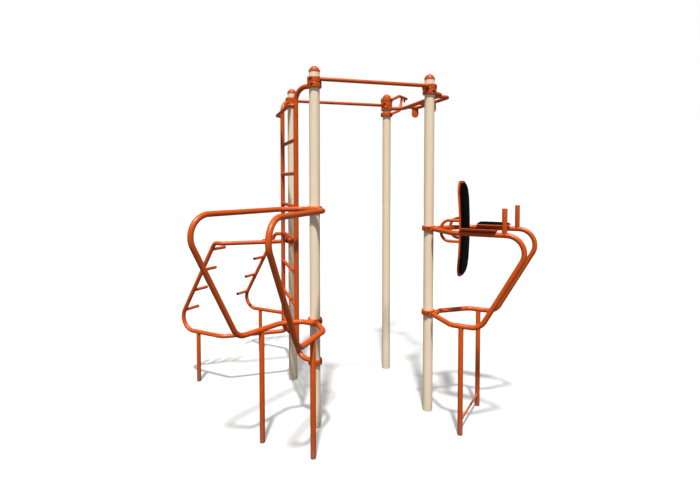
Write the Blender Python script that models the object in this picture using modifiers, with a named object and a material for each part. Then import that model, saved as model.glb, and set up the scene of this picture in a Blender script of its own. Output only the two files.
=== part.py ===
"""Outdoor multi-station fitness unit: four posts, two pull-up bars, a ladder, a dip station,
a leg-raise station, a peg frame, a side beam with two grips and a bag hanger.

Metres, +Z up. +X runs along the front pull-up bar, +Y from the front bar to the rear bar.
The origin is on the ground, under the middle of the whole unit.
"""

import math

import bmesh
import bpy
from mathutils import Matrix, Vector

# Clearances
FIT_GAP = 0.0003
COLLAR_TO_POST = 0.0005
COLLAR_STACK_GAP = 0.0005
WELD_BITE = 0.002
CUT_OVERRUN = 0.02

# Posts and their caps
POST_SPACING = 0.864
POST_RADIUS = 0.0365
POST_WALL = 0.003
POST_HEIGHT = 2.4705
CAP_OVERHANG = 0.003
CAP_RADIUS = POST_RADIUS + CAP_OVERHANG
CAP_SKIRT_DEPTH = 0.006
CAP_RIM_HEIGHT = 0.004
CAP_RIM_SLOPE = 0.002
CAP_RIM_WIDTH = 0.0045
CAP_DOME_RADIUS = CAP_RADIUS - CAP_RIM_WIDTH
CAP_DOME_HEIGHT = 0.029
CAP_DOME_TAPER = 1.4
CAP_PLUG_DEPTH = 0.018
CAP_PLUG_CLEARANCE = 0.0005

# Two-part collars that clamp the stations to the posts
COLLAR_WALL = 0.0125
COLLAR_BORE = POST_RADIUS + COLLAR_TO_POST
COLLAR_RADIUS = COLLAR_BORE + COLLAR_WALL
COLLAR_HEIGHT = 0.0365
COLLAR_SPLIT = 0.002
EAR_OVERHANG = 0.004
EAR_REACH = COLLAR_RADIUS + EAR_OVERHANG
EAR_THICKNESS = 0.011
BOLT_HEAD_RADIUS = 0.0055
BOLT_HEAD_HEIGHT = 0.008
BOLT_INSET = 0.006
BOLT_OFFSET = EAR_REACH - BOLT_INSET

# Tubes
FRAME_RADIUS = 0.0175
BAR_RADIUS = 0.0135
BEAM_RADIUS = 0.016
HAND_POST_RADIUS = 0.017
BRACE_RADIUS = 0.0125
HOOP_RADIUS = 0.011
STEP_RADIUS = 0.008

# Heights of the collars on the posts
TOP_COLLAR_HEIGHT = POST_HEIGHT - CAP_SKIRT_DEPTH - COLLAR_STACK_GAP - COLLAR_HEIGHT / 2
STACK_PITCH = COLLAR_HEIGHT + COLLAR_STACK_GAP
PULL_UP_HEIGHT = TOP_COLLAR_HEIGHT - STACK_PITCH
SECOND_COLLAR_HEIGHT = PULL_UP_HEIGHT - STACK_PITCH
DIP_HEIGHT = 1.530
DIP_LOWER_HEIGHT = 0.752
LEG_RAISE_HEIGHT = 1.372
LEG_RAISE_LOWER_HEIGHT = 0.745
PEG_FRAME_HEIGHT = 1.205
LADDER_FOOT_HEIGHT = 0.465
PEG_FRAME_LOWER_HEIGHT = LADDER_FOOT_HEIGHT - STACK_PITCH

# Pull-up bars run past the outer side of their collars
BAR_INSET = 0.0075
BAR_OFFSET = COLLAR_RADIUS - BAR_INSET
BAR_COLLAR_TURN = math.radians(63)

# Ladder between the two left posts
STILE_OFFSET = 0.103
STILE_INSET = 0.136
STILE_BEND_RADIUS = 0.092
LADDER_FOOTROOM = 0.120
LADDER_HEADROOM = 0.12075
LOWEST_RUNG_HEIGHT = LADDER_FOOT_HEIGHT + LADDER_FOOTROOM
BOWED_RUNG_HEIGHT = SECOND_COLLAR_HEIGHT - LADDER_HEADROOM
RUNG_COUNT = 7
RUNG_PITCH = (BOWED_RUNG_HEIGHT - LOWEST_RUNG_HEIGHT) / RUNG_COUNT
BOW_DEPTH = 0.045
BOW_BEND_RADIUS = 0.024

# Loops that carry the stations: the tube crosses in front of its collar and runs out at 45 degrees
LOOP_CROSSING = COLLAR_RADIUS + FRAME_RADIUS - WELD_BITE
LOOP_BEND_RADIUS = 0.050
LOOP_CORNER_RADIUS = 0.080
LOWER_BEND_RADIUS = 0.102
BUTT_SETBACK = 0.018

# Dip station
DIP_CORNER = 0.175
DIP_SPLAY = math.radians(7.84)
DIP_REACH = 0.785
DIP_BEND_RADIUS = 0.125
DIP_SLOPE = math.radians(61.9)
DIP_LEG_DISTANCE = 0.166

# Leg-raise station
LEG_RAISE_CORNER = 0.245
LEG_RAISE_REACH = 0.548
LEG_RAISE_BEND_RADIUS = 0.112
LEG_RAISE_SLOPE = math.radians(60.7)
LEG_RAISE_LEG_DISTANCE = 0.070
HAND_POST_DISTANCE = 0.346
HAND_POST_LENGTH = 0.173
STEP_HEIGHT = 0.090

# Back rest
BACK_DISTANCE = 0.260
BACK_RISE = 0.009
BACK_WIDTH = 0.240
BACK_HEIGHT = 0.684
BACK_CORNER = 0.090
BACK_BOW = 0.020
BACK_BOW_STEPS = 10
BACK_PLATE_THICKNESS = 0.011
BACK_PAD_THICKNESS = 0.016
BACK_PAD_MARGIN = 0.009
HOOP_OFFSET = 0.115
HOOP_BACK = 0.132
HOOP_HALF_HEIGHT = 0.073
HOOP_BEND_RADIUS = 0.060

# Arm rests
ARM_TRAY_DISTANCE = 0.177
ARM_TRAY_LENGTH = 0.244
ARM_TRAY_WIDTH = 0.096
ARM_TRAY_THICKNESS = 0.014
ARM_TRAY_CORNER = 0.030
ARM_TRAY_FOOT_INSET = 0.009
ARM_TRAY_FLARE = 0.010
ARM_PAD_MARGIN = 0.005
ARM_PAD_THICKNESS = 0.010
ARM_TILT = math.radians(8)

# Peg frame
PEG_CORNER = 0.419
PEG_SHOULDER = 0.076
PEG_SHOULDER_RADIUS = 0.050
PEG_BEND_RADIUS = 0.115
PEG_SLOPE = math.radians(59.7)
PEG_LENGTH = 0.159
PEG_TOP_DROP = 0.055
PEG_FOOT_RISE = 0.170
PEG_COUNT = 4
PEG_FALL = PEG_FRAME_HEIGHT - PEG_FRAME_LOWER_HEIGHT
PEG_PITCH = (PEG_FALL - PEG_TOP_DROP - PEG_FOOT_RISE) / (PEG_COUNT - 1)
PEG_LEG_INSET = 0.041
SHOULDER_RUN = PEG_SHOULDER_RADIUS * math.tan(PEG_SLOPE / 2) + BUTT_SETBACK

# Side beam and its grips
BEAM_OFFSET = 0.135
BEAM_ANGLE = math.radians(30)
BEAM_BEND_RADIUS = 0.060
GRIP_START = 0.148
GRIP_WIDTH = 0.232
GRIP_DEPTH = 0.107
GRIP_BEND_RADIUS = 0.040
TAB_WIDTH = 0.062
TAB_DROP = 0.058
TAB_THICKNESS = 0.010
TAB_OFFSET = 0.078

# Bag hanger
BRACE_EXTRA_DROP = 0.016
HANGER_KNEE = 0.300
HANGER_RISE = 0.0865
HANGER_REACH = 0.485
HANGER_BEND_RADIUS = 0.080
BRACE_KNEE = 0.316
BRACE_RISE = 0.082
BRACE_TOP = 0.370
BRACE_BEND_RADIUS = 0.040
LUG_POSITION = 0.430
LUG_WIDTH = 0.030
LUG_DROP = 0.044
LUG_THICKNESS = 0.008
LUG_HOLE_RADIUS = 0.009

# Rounding of plates and pads
PLATE_EDGE = 0.002
PAD_SIDE_BULGE = 0.004
PAD_CROWN_RING_SHARES = (0.12, 0.30, 0.55, 0.80)
PAD_EDGE_HEIGHT_SHARE = 0.72

# Facets
TUBE_SIDES = 12
TUBE_BEVEL_RESOLUTION = (TUBE_SIDES - 4) // 2
ROUND_STEPS = 24
BEND_STEP = math.radians(22.5)
ARC_STEPS = 7
PAD_ARC_STEPS = 7
PAD_SIDE_STEPS = 4
DOME_STEPS = 4
BOLT_HEAD_SIDES = 6
SMOOTH_ANGLE = math.radians(40)

LEFT_X = -POST_SPACING / 2
RIGHT_X = POST_SPACING / 2
FRONT_Y = -POST_SPACING / 2
REAR_Y = POST_SPACING / 2
POSTS = {
    "front_left": Vector((LEFT_X, FRONT_Y, 0)),
    "front_right": Vector((RIGHT_X, FRONT_Y, 0)),
    "rear_left": Vector((LEFT_X, REAR_Y, 0)),
    "rear_right": Vector((RIGHT_X, REAR_Y, 0)),
}
TUBE_START = COLLAR_BORE + COLLAR_WALL / 2 - WELD_BITE


def clear_scene():
    for item in list(bpy.data.objects):
        bpy.data.objects.remove(item, do_unlink=True)


def new_collection(name):
    collection = bpy.data.collections.new(name)
    bpy.context.scene.collection.children.link(collection)
    return collection


def new_finish(name, colour, roughness, metallic):
    finish = bpy.data.materials.new(name)
    finish.use_nodes = True
    shader = finish.node_tree.nodes["Principled BSDF"]
    shader.inputs["Base Color"].default_value = (*colour, 1)
    shader.inputs["Roughness"].default_value = roughness
    shader.inputs["Metallic"].default_value = metallic
    return finish


clear_scene()
UNIT = new_collection("multi_station_fitness_unit")
TOOLS = new_collection("cutters_and_joined_shapes")
ORANGE = {"colour": (0.76, 0.093, 0.010), "roughness": 0.35, "metallic": 0.0}
CREAM = {"colour": (0.76, 0.63, 0.46), "roughness": 0.45, "metallic": 0.0}
BLACK = {"colour": (0.012, 0.012, 0.012), "roughness": 0.7, "metallic": 0.0}


def new_empty(name, parent=None, location=(0, 0, 0), turn=0.0):
    empty = bpy.data.objects.new(name, None)
    empty.parent = parent
    empty.location = location
    empty.rotation_euler = (0, 0, turn)
    UNIT.objects.link(empty)
    return empty


def add_piece(name, data, parent, look):
    piece = bpy.data.objects.new(name, data)
    piece.parent = parent
    piece.data.materials.clear()
    piece.data.materials.append(new_finish(name, **look))
    UNIT.objects.link(piece)
    return piece


def add_tool(name, data, parent):
    tool = bpy.data.objects.new(name, data)
    tool.parent = parent
    tool.hide_render = True
    tool.display_type = "WIRE"
    TOOLS.objects.link(tool)
    return tool


def combine(piece, tool, operation):
    step = piece.modifiers.new(tool.name, "BOOLEAN")
    step.operation = operation
    step.solver = "EXACT"
    step.object = tool


def mesh_of(shape, name):
    """The mesh that an object evaluates to, in its own space, with its open caps welded."""
    bpy.context.view_layer.update()
    evaluated = shape.evaluated_get(bpy.context.evaluated_depsgraph_get())
    mesh = bpy.data.meshes.new_from_object(evaluated)
    mesh.name = name
    work = bmesh.new()
    work.from_mesh(mesh)
    bmesh.ops.remove_doubles(work, verts=work.verts, dist=FIT_GAP / 10)
    bmesh.ops.recalc_face_normals(work, faces=work.faces)
    work.to_mesh(mesh)
    work.free()
    mesh.shade_smooth()
    mesh.set_sharp_from_angle(angle=SMOOTH_ANGLE)
    bpy.data.objects.remove(shape, do_unlink=True)
    return mesh


def rounded_path(corners, radii):
    """Points along straight runs through the corners, each corner replaced by an arc."""
    points = [corners[0]]
    for before, corner, after, radius in zip(corners, corners[1:], corners[2:], radii):
        along = (corner - before).normalized()
        onward = (after - corner).normalized()
        turn = along.angle(onward)
        start = corner - along * radius * math.tan(turn / 2)
        axis = along.cross(onward).normalized()
        centre = start + axis.cross(along) * radius
        steps = max(2, math.ceil(turn / BEND_STEP))
        for step in range(steps + 1):
            points.append(centre + Matrix.Rotation(turn * step / steps, 3, axis) @ (start - centre))
    points.append(corners[-1])
    return points


def tube_mesh(name, points, radius):
    curve = bpy.data.curves.new(name, "CURVE")
    curve.dimensions = "3D"
    curve.bevel_depth = radius
    curve.bevel_resolution = TUBE_BEVEL_RESOLUTION
    curve.use_fill_caps = True
    spline = curve.splines.new("POLY")
    spline.points.add(len(points) - 1)
    for knot, point in zip(spline.points, points):
        knot.co = (*point, 1)
    shape = bpy.data.objects.new(name, curve)
    UNIT.objects.link(shape)
    return mesh_of(shape, name)


def cylinder_mesh(name, radius, length, sides=TUBE_SIDES):
    """An upright cylinder that stands on its object's origin."""
    mesh = bpy.data.meshes.new(name)
    work = bmesh.new()
    bmesh.ops.create_cone(
        work,
        cap_ends=True,
        segments=sides,
        radius1=radius,
        radius2=radius,
        depth=length,
        matrix=Matrix.Translation((0, 0, length / 2)),
    )
    work.to_mesh(mesh)
    work.free()
    mesh.shade_smooth()
    mesh.set_sharp_from_angle(angle=SMOOTH_ANGLE)
    return mesh


def lay_between(item, start, end):
    item.location = start
    item.rotation_mode = "QUATERNION"
    item.rotation_quaternion = (end - start).to_track_quat("Z", "Y")


def rod(name, start, end, radius, parent, look):
    piece = add_piece(name, cylinder_mesh(name, radius, (end - start).length), parent, look)
    lay_between(piece, start, end)
    return piece


def rod_tool(name, start, end, radius, parent):
    tool = add_tool(name, cylinder_mesh(name, radius, (end - start).length), parent)
    lay_between(tool, start, end)
    return tool


def saddle(piece, name, start, end, radius, parent):
    """Copes a piece to a tube that passes it, with the fit gap between the facets."""
    wide = (radius + FIT_GAP) / math.cos(math.pi / TUBE_SIDES)
    combine(piece, rod_tool(name, start, end, wide, parent), "DIFFERENCE")


def outline_mesh(name, points, thickness):
    """A flat outline in the XY plane, as a plate that is centred on it."""
    curve = bpy.data.curves.new(name, "CURVE")
    curve.dimensions = "2D"
    curve.fill_mode = "BOTH"
    curve.extrude = thickness / 2
    spline = curve.splines.new("POLY")
    spline.points.add(len(points) - 1)
    spline.use_cyclic_u = True
    for knot, (x, y) in zip(spline.points, points):
        knot.co = (x, y, 0, 1)
    shape = bpy.data.objects.new(name, curve)
    UNIT.objects.link(shape)
    return mesh_of(shape, name)


def arc(radius, first, last, steps=ARC_STEPS, centre=(0, 0)):
    points = []
    for step in range(steps + 1):
        angle = first + (last - first) * step / steps
        points.append((centre[0] + radius * math.cos(angle), centre[1] + radius * math.sin(angle)))
    return points


def rounded_outline(half_x, half_y, corner, steps=PAD_ARC_STEPS):
    """A rectangle with round corners; a corner as large as half_y makes round ends."""
    points = []
    for quarter, (side_x, side_y) in enumerate(((1, 1), (-1, 1), (-1, -1), (1, -1))):
        centre = (side_x * (half_x - corner), side_y * (half_y - corner))
        points += arc(corner, quarter * math.pi / 2, (quarter + 1) * math.pi / 2, steps, centre)
    return points


def collar_half_outline():
    """Half a collar on the +X side of the post, with an ear at each end."""
    face = COLLAR_SPLIT / 2
    bore = COLLAR_BORE / math.cos(math.pi / 2 / ARC_STEPS)
    inner = math.acos(face / bore)
    outer = math.acos(EAR_THICKNESS / COLLAR_RADIUS)
    points = [(face, -EAR_REACH), (EAR_THICKNESS, -EAR_REACH)]
    points += arc(COLLAR_RADIUS, -outer, outer)
    points += [(EAR_THICKNESS, EAR_REACH), (face, EAR_REACH)]
    return points + arc(bore, inner, -inner)


def outer_half_mesh(name):
    """The loose half of a collar, with the heads of its two bolts."""
    half = bpy.data.objects.new(name, outline_mesh(name, collar_half_outline(), COLLAR_HEIGHT))
    UNIT.objects.link(half)
    length = BOLT_HEAD_HEIGHT + WELD_BITE
    for side in (-1, 1):
        head = add_tool("bolt_head", cylinder_mesh(name, BOLT_HEAD_RADIUS, length, BOLT_HEAD_SIDES), None)
        start = Vector((EAR_THICKNESS - WELD_BITE, side * BOLT_OFFSET, 0))
        lay_between(head, start, start + Vector((length, 0, 0)))
        combine(half, head, "UNION")
    return mesh_of(half, name)


ROOT = new_empty("unit_origin")
INNER_HALF = outline_mesh("collar_inner_half", collar_half_outline(), COLLAR_HEIGHT)
OUTER_HALF = outer_half_mesh("collar_outer_half")


def weld_collar(piece, post, height, angle):
    """Welds the inner half of a collar to a tube that leaves the post at this angle."""
    half = add_tool(piece.name + "_collar", INNER_HALF, ROOT)
    half.location = POSTS[post] + Vector((0, 0, height))
    half.rotation_euler = (0, 0, angle)
    combine(piece, half, "UNION")


def bolt_on_collar(use, post, height, angle):
    """The loose outer half of a collar, across the post from its tube."""
    half = add_piece("collar_" + post + "_" + use, OUTER_HALF.copy(), ROOT, ORANGE)
    half.location = POSTS[post] + Vector((0, 0, height))
    half.rotation_euler = (0, 0, angle + math.pi)


def make_collar(piece, use, post, height, angle):
    weld_collar(piece, post, height, angle)
    bolt_on_collar(use, post, height, angle)


def turned_mesh(name, profile):
    mesh = bpy.data.meshes.new(name)
    edges = [(index, (index + 1) % len(profile)) for index in range(len(profile))]
    if profile[0][0] == 0:
        edges.pop()
    mesh.from_pydata([(radius, 0, height) for radius, height in profile], edges, [])
    shape = bpy.data.objects.new(name, mesh)
    UNIT.objects.link(shape)
    screw = shape.modifiers.new("turn", "SCREW")
    screw.angle = math.tau
    screw.steps = ROUND_STEPS
    screw.render_steps = ROUND_STEPS
    screw.use_merge_vertices = True
    screw.merge_threshold = FIT_GAP / 10
    return mesh_of(shape, name)


def make_posts():
    bore = POST_RADIUS - POST_WALL
    profile = [(POST_RADIUS, POST_HEIGHT), (POST_RADIUS, 0), (bore, 0), (bore, POST_HEIGHT)]
    for post, place in POSTS.items():
        piece = add_piece("post_" + post, turned_mesh("post", profile), ROOT, CREAM)
        piece.location = place


def cap_profile():
    """From the tip of the bell-shaped dome, down over its rim and back to the plug in the post."""
    seat = FIT_GAP
    skirt_inner = POST_RADIUS + FIT_GAP
    plug = POST_RADIUS - POST_WALL - CAP_PLUG_CLEARANCE
    points = [(0, CAP_RIM_HEIGHT + CAP_DOME_HEIGHT)]
    for step in range(1, DOME_STEPS + 1):
        angle = math.pi / 2 * (1 - step / DOME_STEPS)
        radius = CAP_DOME_RADIUS * math.cos(angle) ** CAP_DOME_TAPER
        points.append((radius, CAP_RIM_HEIGHT + CAP_DOME_HEIGHT * math.sin(angle)))
    points.append((CAP_RADIUS, CAP_RIM_HEIGHT - CAP_RIM_SLOPE))
    points += [(CAP_RADIUS, -CAP_SKIRT_DEPTH), (skirt_inner, -CAP_SKIRT_DEPTH)]
    points += [(skirt_inner, seat), (plug, seat), (plug, -CAP_PLUG_DEPTH), (0, -CAP_PLUG_DEPTH)]
    return points


def make_caps():
    for post, place in POSTS.items():
        piece = add_piece("cap_" + post, turned_mesh("cap", cap_profile()), ROOT, ORANGE)
        piece.location = place + Vector((0, 0, POST_HEIGHT))


def make_pull_up_bar(row, y, outwards):
    """A bar that runs past its posts' outer side and is welded to the edge of its collars."""
    lane = y + outwards * BAR_OFFSET
    inset = math.sqrt((COLLAR_BORE + WELD_BITE) ** 2 - (BAR_OFFSET - BAR_RADIUS) ** 2)
    start = Vector((LEFT_X + inset, lane, PULL_UP_HEIGHT))
    end = Vector((RIGHT_X - inset, lane, PULL_UP_HEIGHT))
    bar = rod(row + "_pull_up_bar", start, end, BAR_RADIUS, ROOT, ORANGE)
    turn = outwards * BAR_COLLAR_TURN
    make_collar(bar, "pull_up", row + "_left", PULL_UP_HEIGHT, turn)
    make_collar(bar, "pull_up", row + "_right", PULL_UP_HEIGHT, math.pi - turn)


def stile_place(row):
    inset = STILE_INSET if row == "front" else POST_SPACING - STILE_INSET
    return Vector((LEFT_X - STILE_OFFSET, FRONT_Y + inset, 0))


def make_stile(row):
    post = row + "_left"
    foot = stile_place(row)
    away = (foot - POSTS[post]).normalized()
    low = Vector((0, 0, LADDER_FOOT_HEIGHT))
    high = Vector((0, 0, SECOND_COLLAR_HEIGHT))
    near = POSTS[post] + away * TUBE_START
    path = rounded_path([near + high, foot + high, foot + low, near + low], [STILE_BEND_RADIUS] * 2)
    name = "ladder_" + row + "_stile"
    stile = add_piece(name, tube_mesh(name, path, FRAME_RADIUS), ROOT, ORANGE)
    angle = math.atan2(away.y, away.x)
    make_collar(stile, "ladder_top", post, SECOND_COLLAR_HEIGHT, angle)
    make_collar(stile, "ladder_foot", post, LADDER_FOOT_HEIGHT, angle)


def cope_to_stiles(piece):
    low = Vector((0, 0, LADDER_FOOT_HEIGHT))
    high = Vector((0, 0, SECOND_COLLAR_HEIGHT))
    for row in ("front", "rear"):
        saddle(piece, "stile_saddle", stile_place(row) + low, stile_place(row) + high, FRAME_RADIUS, ROOT)


def make_rungs():
    reach = Vector((0, FRAME_RADIUS / 2, 0))
    for number in range(RUNG_COUNT):
        lift = Vector((0, 0, LOWEST_RUNG_HEIGHT + number * RUNG_PITCH))
        start = stile_place("front") + reach + lift
        end = stile_place("rear") - reach + lift
        rung = rod("ladder_rung_" + str(number + 1), start, end, BAR_RADIUS, ROOT, ORANGE)
        cope_to_stiles(rung)


def make_bowed_rung():
    lift = Vector((0, 0, BOWED_RUNG_HEIGHT))
    out = Vector((-BOW_DEPTH, 0, 0))
    reach = Vector((-FRAME_RADIUS / 2, 0, 0))
    front = stile_place("front") + lift
    rear = stile_place("rear") + lift
    path = rounded_path([front + reach, front + out, rear + out, rear + reach], [BOW_BEND_RADIUS] * 2)
    rung = add_piece("ladder_bowed_rung", tube_mesh("ladder_bowed_rung", path, BAR_RADIUS), ROOT, ORANGE)
    cope_to_stiles(rung)


def mirrored(half):
    return half + [Vector((point.x, -point.y, point.z)) for point in reversed(half)]


def rail_point(corner, splay, distance, height, side=1):
    """A point on a station's side rail, at a distance out from the corner of its loop."""
    x = corner + distance * math.cos(splay)
    y = corner + distance * math.sin(splay)
    return Vector((x, side * y, height))


def make_lower_loop(name, station, corner, splay, split, height):
    half = [
        rail_point(corner, splay, split - FIT_GAP, height),
        rail_point(corner, splay, 0, height),
        Vector((LOOP_CROSSING, LOOP_CROSSING, height)),
    ]
    radii = [LOOP_CORNER_RADIUS, LOOP_BEND_RADIUS]
    path = rounded_path(mirrored(half), radii + radii[::-1])
    return add_piece(name, tube_mesh(name, path, FRAME_RADIUS), station, ORANGE)


def make_leg(name, station, corner, splay, distance, height, side):
    head = rail_point(corner, splay, distance, height, side)
    foot = Vector((head.x, head.y, 0))
    leg = rod(name, foot, head - Vector((0, 0, FRAME_RADIUS / 2)), FRAME_RADIUS, station, ORANGE)
    overrun = FRAME_RADIUS + CUT_OVERRUN
    start = rail_point(corner, splay, distance - overrun, height, side)
    end = rail_point(corner, splay, distance + overrun, height, side)
    saddle(leg, "rail_saddle", start, end, FRAME_RADIUS, station)
    return leg


def make_hand_rail(name, station, corner, splay, reach, radius, slope, high, low):
    """The upper tube: from the lower loop up one side, round the post and down the other side."""
    turn_back = reach - (high - low) / math.tan(slope)
    split = turn_back - LOWER_BEND_RADIUS * math.tan(slope / 2) - BUTT_SETBACK
    half = [
        rail_point(corner, splay, split, low),
        rail_point(corner, splay, turn_back, low),
        rail_point(corner, splay, reach, high),
        rail_point(corner, splay, 0, high),
        Vector((LOOP_CROSSING, LOOP_CROSSING, high)),
    ]
    radii = [LOWER_BEND_RADIUS, radius, LOOP_CORNER_RADIUS, LOOP_BEND_RADIUS]
    path = rounded_path(mirrored(half), radii + radii[::-1])
    piece = add_piece(name, tube_mesh(name, path, FRAME_RADIUS), station, ORANGE)
    return piece, split


def make_dip_station():
    angle = math.radians(225)
    station = new_empty("dip_station", ROOT, POSTS["front_left"], angle)
    upper, split = make_hand_rail(
        "dip_upper_tube",
        station,
        DIP_CORNER,
        DIP_SPLAY,
        DIP_REACH,
        DIP_BEND_RADIUS,
        DIP_SLOPE,
        DIP_HEIGHT,
        DIP_LOWER_HEIGHT,
    )
    lower = make_lower_loop("dip_lower_tube", station, DIP_CORNER, DIP_SPLAY, split, DIP_LOWER_HEIGHT)
    make_collar(upper, "dip_upper", "front_left", DIP_HEIGHT, angle)
    make_collar(lower, "dip_lower", "front_left", DIP_LOWER_HEIGHT, angle)
    for word, side in (("right", -1), ("left", 1)):
        name = "dip_leg_" + word
        make_leg(name, station, DIP_CORNER, DIP_SPLAY, DIP_LEG_DISTANCE, DIP_LOWER_HEIGHT, side)


def make_leg_raise_legs(station):
    """The two legs under the leg-raise station, joined by a low step."""
    height = LEG_RAISE_LOWER_HEIGHT
    legs = make_leg("leg_raise_legs", station, LEG_RAISE_CORNER, 0, LEG_RAISE_LEG_DISTANCE, height, 1)
    head = rail_point(LEG_RAISE_CORNER, 0, LEG_RAISE_LEG_DISTANCE, height, -1)
    foot = Vector((head.x, head.y, 0))
    top = head - Vector((0, 0, FRAME_RADIUS / 2))
    step_start = Vector((head.x, head.y, STEP_HEIGHT))
    step_end = Vector((head.x, -head.y, STEP_HEIGHT))
    combine(legs, rod_tool("leg_raise_step", step_start, step_end, STEP_RADIUS, station), "UNION")
    combine(legs, rod_tool("leg_raise_other_leg", foot, top, FRAME_RADIUS, station), "UNION")
    overrun = Vector((FRAME_RADIUS + CUT_OVERRUN, 0, 0))
    saddle(legs, "rail_saddle", head - overrun, head + overrun, FRAME_RADIUS, station)


def make_hand_posts(upper, station):
    for side in (-1, 1):
        foot = rail_point(LEG_RAISE_CORNER, 0, HAND_POST_DISTANCE, LEG_RAISE_HEIGHT, side)
        top = foot + Vector((0, 0, HAND_POST_LENGTH))
        post = rod_tool("hand_post", foot, top, HAND_POST_RADIUS, station)
        combine(upper, post, "UNION")


def loft(name, rings):
    """A closed skin through rings of points that are alike in count."""
    mesh = bpy.data.meshes.new(name)
    work = bmesh.new()
    loops = [[work.verts.new(point) for point in ring] for ring in rings]
    count = len(rings[0])
    for lower, upper in zip(loops, loops[1:]):
        for index in range(count):
            follow = (index + 1) % count
            work.faces.new((lower[index], lower[follow], upper[follow], upper[index]))
    work.faces.new(list(reversed(loops[0])))
    work.faces.new(loops[-1])
    bmesh.ops.recalc_face_normals(work, faces=work.faces)
    work.to_mesh(mesh)
    work.free()
    mesh.shade_smooth()
    mesh.set_sharp_from_angle(angle=SMOOTH_ANGLE)
    return mesh


def pad_mesh(name, half_x, half_y, corner, thickness):
    """A padded form: flat below, drawn in at the foot of its sides, crowned on top."""
    edge = thickness * PAD_EDGE_HEIGHT_SHARE
    levels = []
    for step in range(PAD_SIDE_STEPS + 1):
        swing = math.pi * step / PAD_SIDE_STEPS
        levels.append((PAD_SIDE_BULGE * (1 - math.sin(swing)), edge * (1 - math.cos(swing)) / 2))
    for share in PAD_CROWN_RING_SHARES:
        inset = PAD_SIDE_BULGE + share * (half_y - PAD_SIDE_BULGE)
        levels.append((inset, edge + (thickness - edge) * math.sin(share * math.pi / 2)))
    rings = []
    for inset, height in levels:
        rounding = max(corner - inset, PAD_SIDE_BULGE / 2)
        outline = rounded_outline(half_x - inset, half_y - inset, rounding)
        rings.append([(x, y, height) for x, y in outline])
    return loft(name, rings)


def plate_mesh(name, half_x, half_y, corner, thickness, foot_inset, flare):
    """A plate that stands on its object's origin: its foot flares out, and its top edge is eased."""
    levels = [(foot_inset, 0), (0, flare), (0, thickness - PLATE_EDGE), (PLATE_EDGE, thickness)]
    rings = []
    for inset, height in levels:
        outline = rounded_outline(half_x - inset, half_y - inset, corner - inset)
        rings.append([(x, y, height) for x, y in outline])
    return loft(name, rings)


def bow_at(place):
    """How far the back rest is bent back at a place along its length, straight between even marks."""
    count = (place / BACK_HEIGHT + 0.5) * BACK_BOW_STEPS
    mark = min(int(count), BACK_BOW_STEPS - 1)
    before, after = (BACK_BOW * (2 * at / BACK_BOW_STEPS - 1) ** 2 for at in (mark, mark + 1))
    return before + (after - before) * (count - mark)


def bow(mesh):
    """Cuts a mesh that lies along Y across at even marks, and bends its ends down."""
    work = bmesh.new()
    work.from_mesh(mesh)
    for mark in range(1, BACK_BOW_STEPS):
        place = (0, BACK_HEIGHT * (mark / BACK_BOW_STEPS - 0.5), 0)
        everything = work.verts[:] + work.edges[:] + work.faces[:]
        bmesh.ops.bisect_plane(work, geom=everything, plane_co=place, plane_no=(0, 1, 0))
    for vertex in work.verts:
        vertex.co.z -= bow_at(vertex.co.y)
    work.to_mesh(mesh)
    work.free()


def make_back_rest(station):
    upright = (math.pi / 2, 0, math.pi / 2)
    half_height = BACK_HEIGHT / 2
    half_width = BACK_WIDTH / 2
    outline = (half_width, half_height, BACK_CORNER)
    plate_data = plate_mesh("back_plate", *outline, BACK_PLATE_THICKNESS, PLATE_EDGE, PLATE_EDGE)
    bow(plate_data)
    plate = add_piece("back_plate", plate_data, station, ORANGE)
    middle = LEG_RAISE_HEIGHT + BACK_RISE
    plate.location = (BACK_DISTANCE, 0, middle)
    plate.rotation_euler = upright
    long_half = half_height - BACK_PAD_MARGIN
    short_half = half_width - BACK_PAD_MARGIN
    pad_corner = BACK_CORNER - BACK_PAD_MARGIN
    pad_data = pad_mesh("back_pad", long_half, short_half, pad_corner, BACK_PAD_THICKNESS)
    pad_data.transform(Matrix.Rotation(math.pi / 2, 4, "Z"))
    bow(pad_data)
    pad = add_piece("back_pad", pad_data, station, BLACK)
    pad.location = (BACK_DISTANCE + BACK_PLATE_THICKNESS + FIT_GAP, 0, middle)
    pad.rotation_euler = upright
    root = BACK_DISTANCE + WELD_BITE
    hoop_places = [(root, 1), (HOOP_BACK, 1), (HOOP_BACK, -1), (root, -1)]
    for side in (-1, 1):
        corners = []
        for x, lift in hoop_places:
            height = LEG_RAISE_HEIGHT + lift * HOOP_HALF_HEIGHT
            corners.append(Vector((x, side * HOOP_OFFSET, height)))
        hoop_path = rounded_path(corners, [HOOP_BEND_RADIUS] * 2)
        hoop = add_tool("back_hoop", tube_mesh("back_hoop", hoop_path, HOOP_RADIUS), station)
        combine(plate, hoop, "UNION")
        start = Vector((LOOP_CROSSING, side * LOOP_CROSSING, LEG_RAISE_HEIGHT))
        end = Vector((LEG_RAISE_CORNER, side * LEG_RAISE_CORNER, LEG_RAISE_HEIGHT))
        saddle(plate, "loop_saddle", start, end, FRAME_RADIUS, station)


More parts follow.
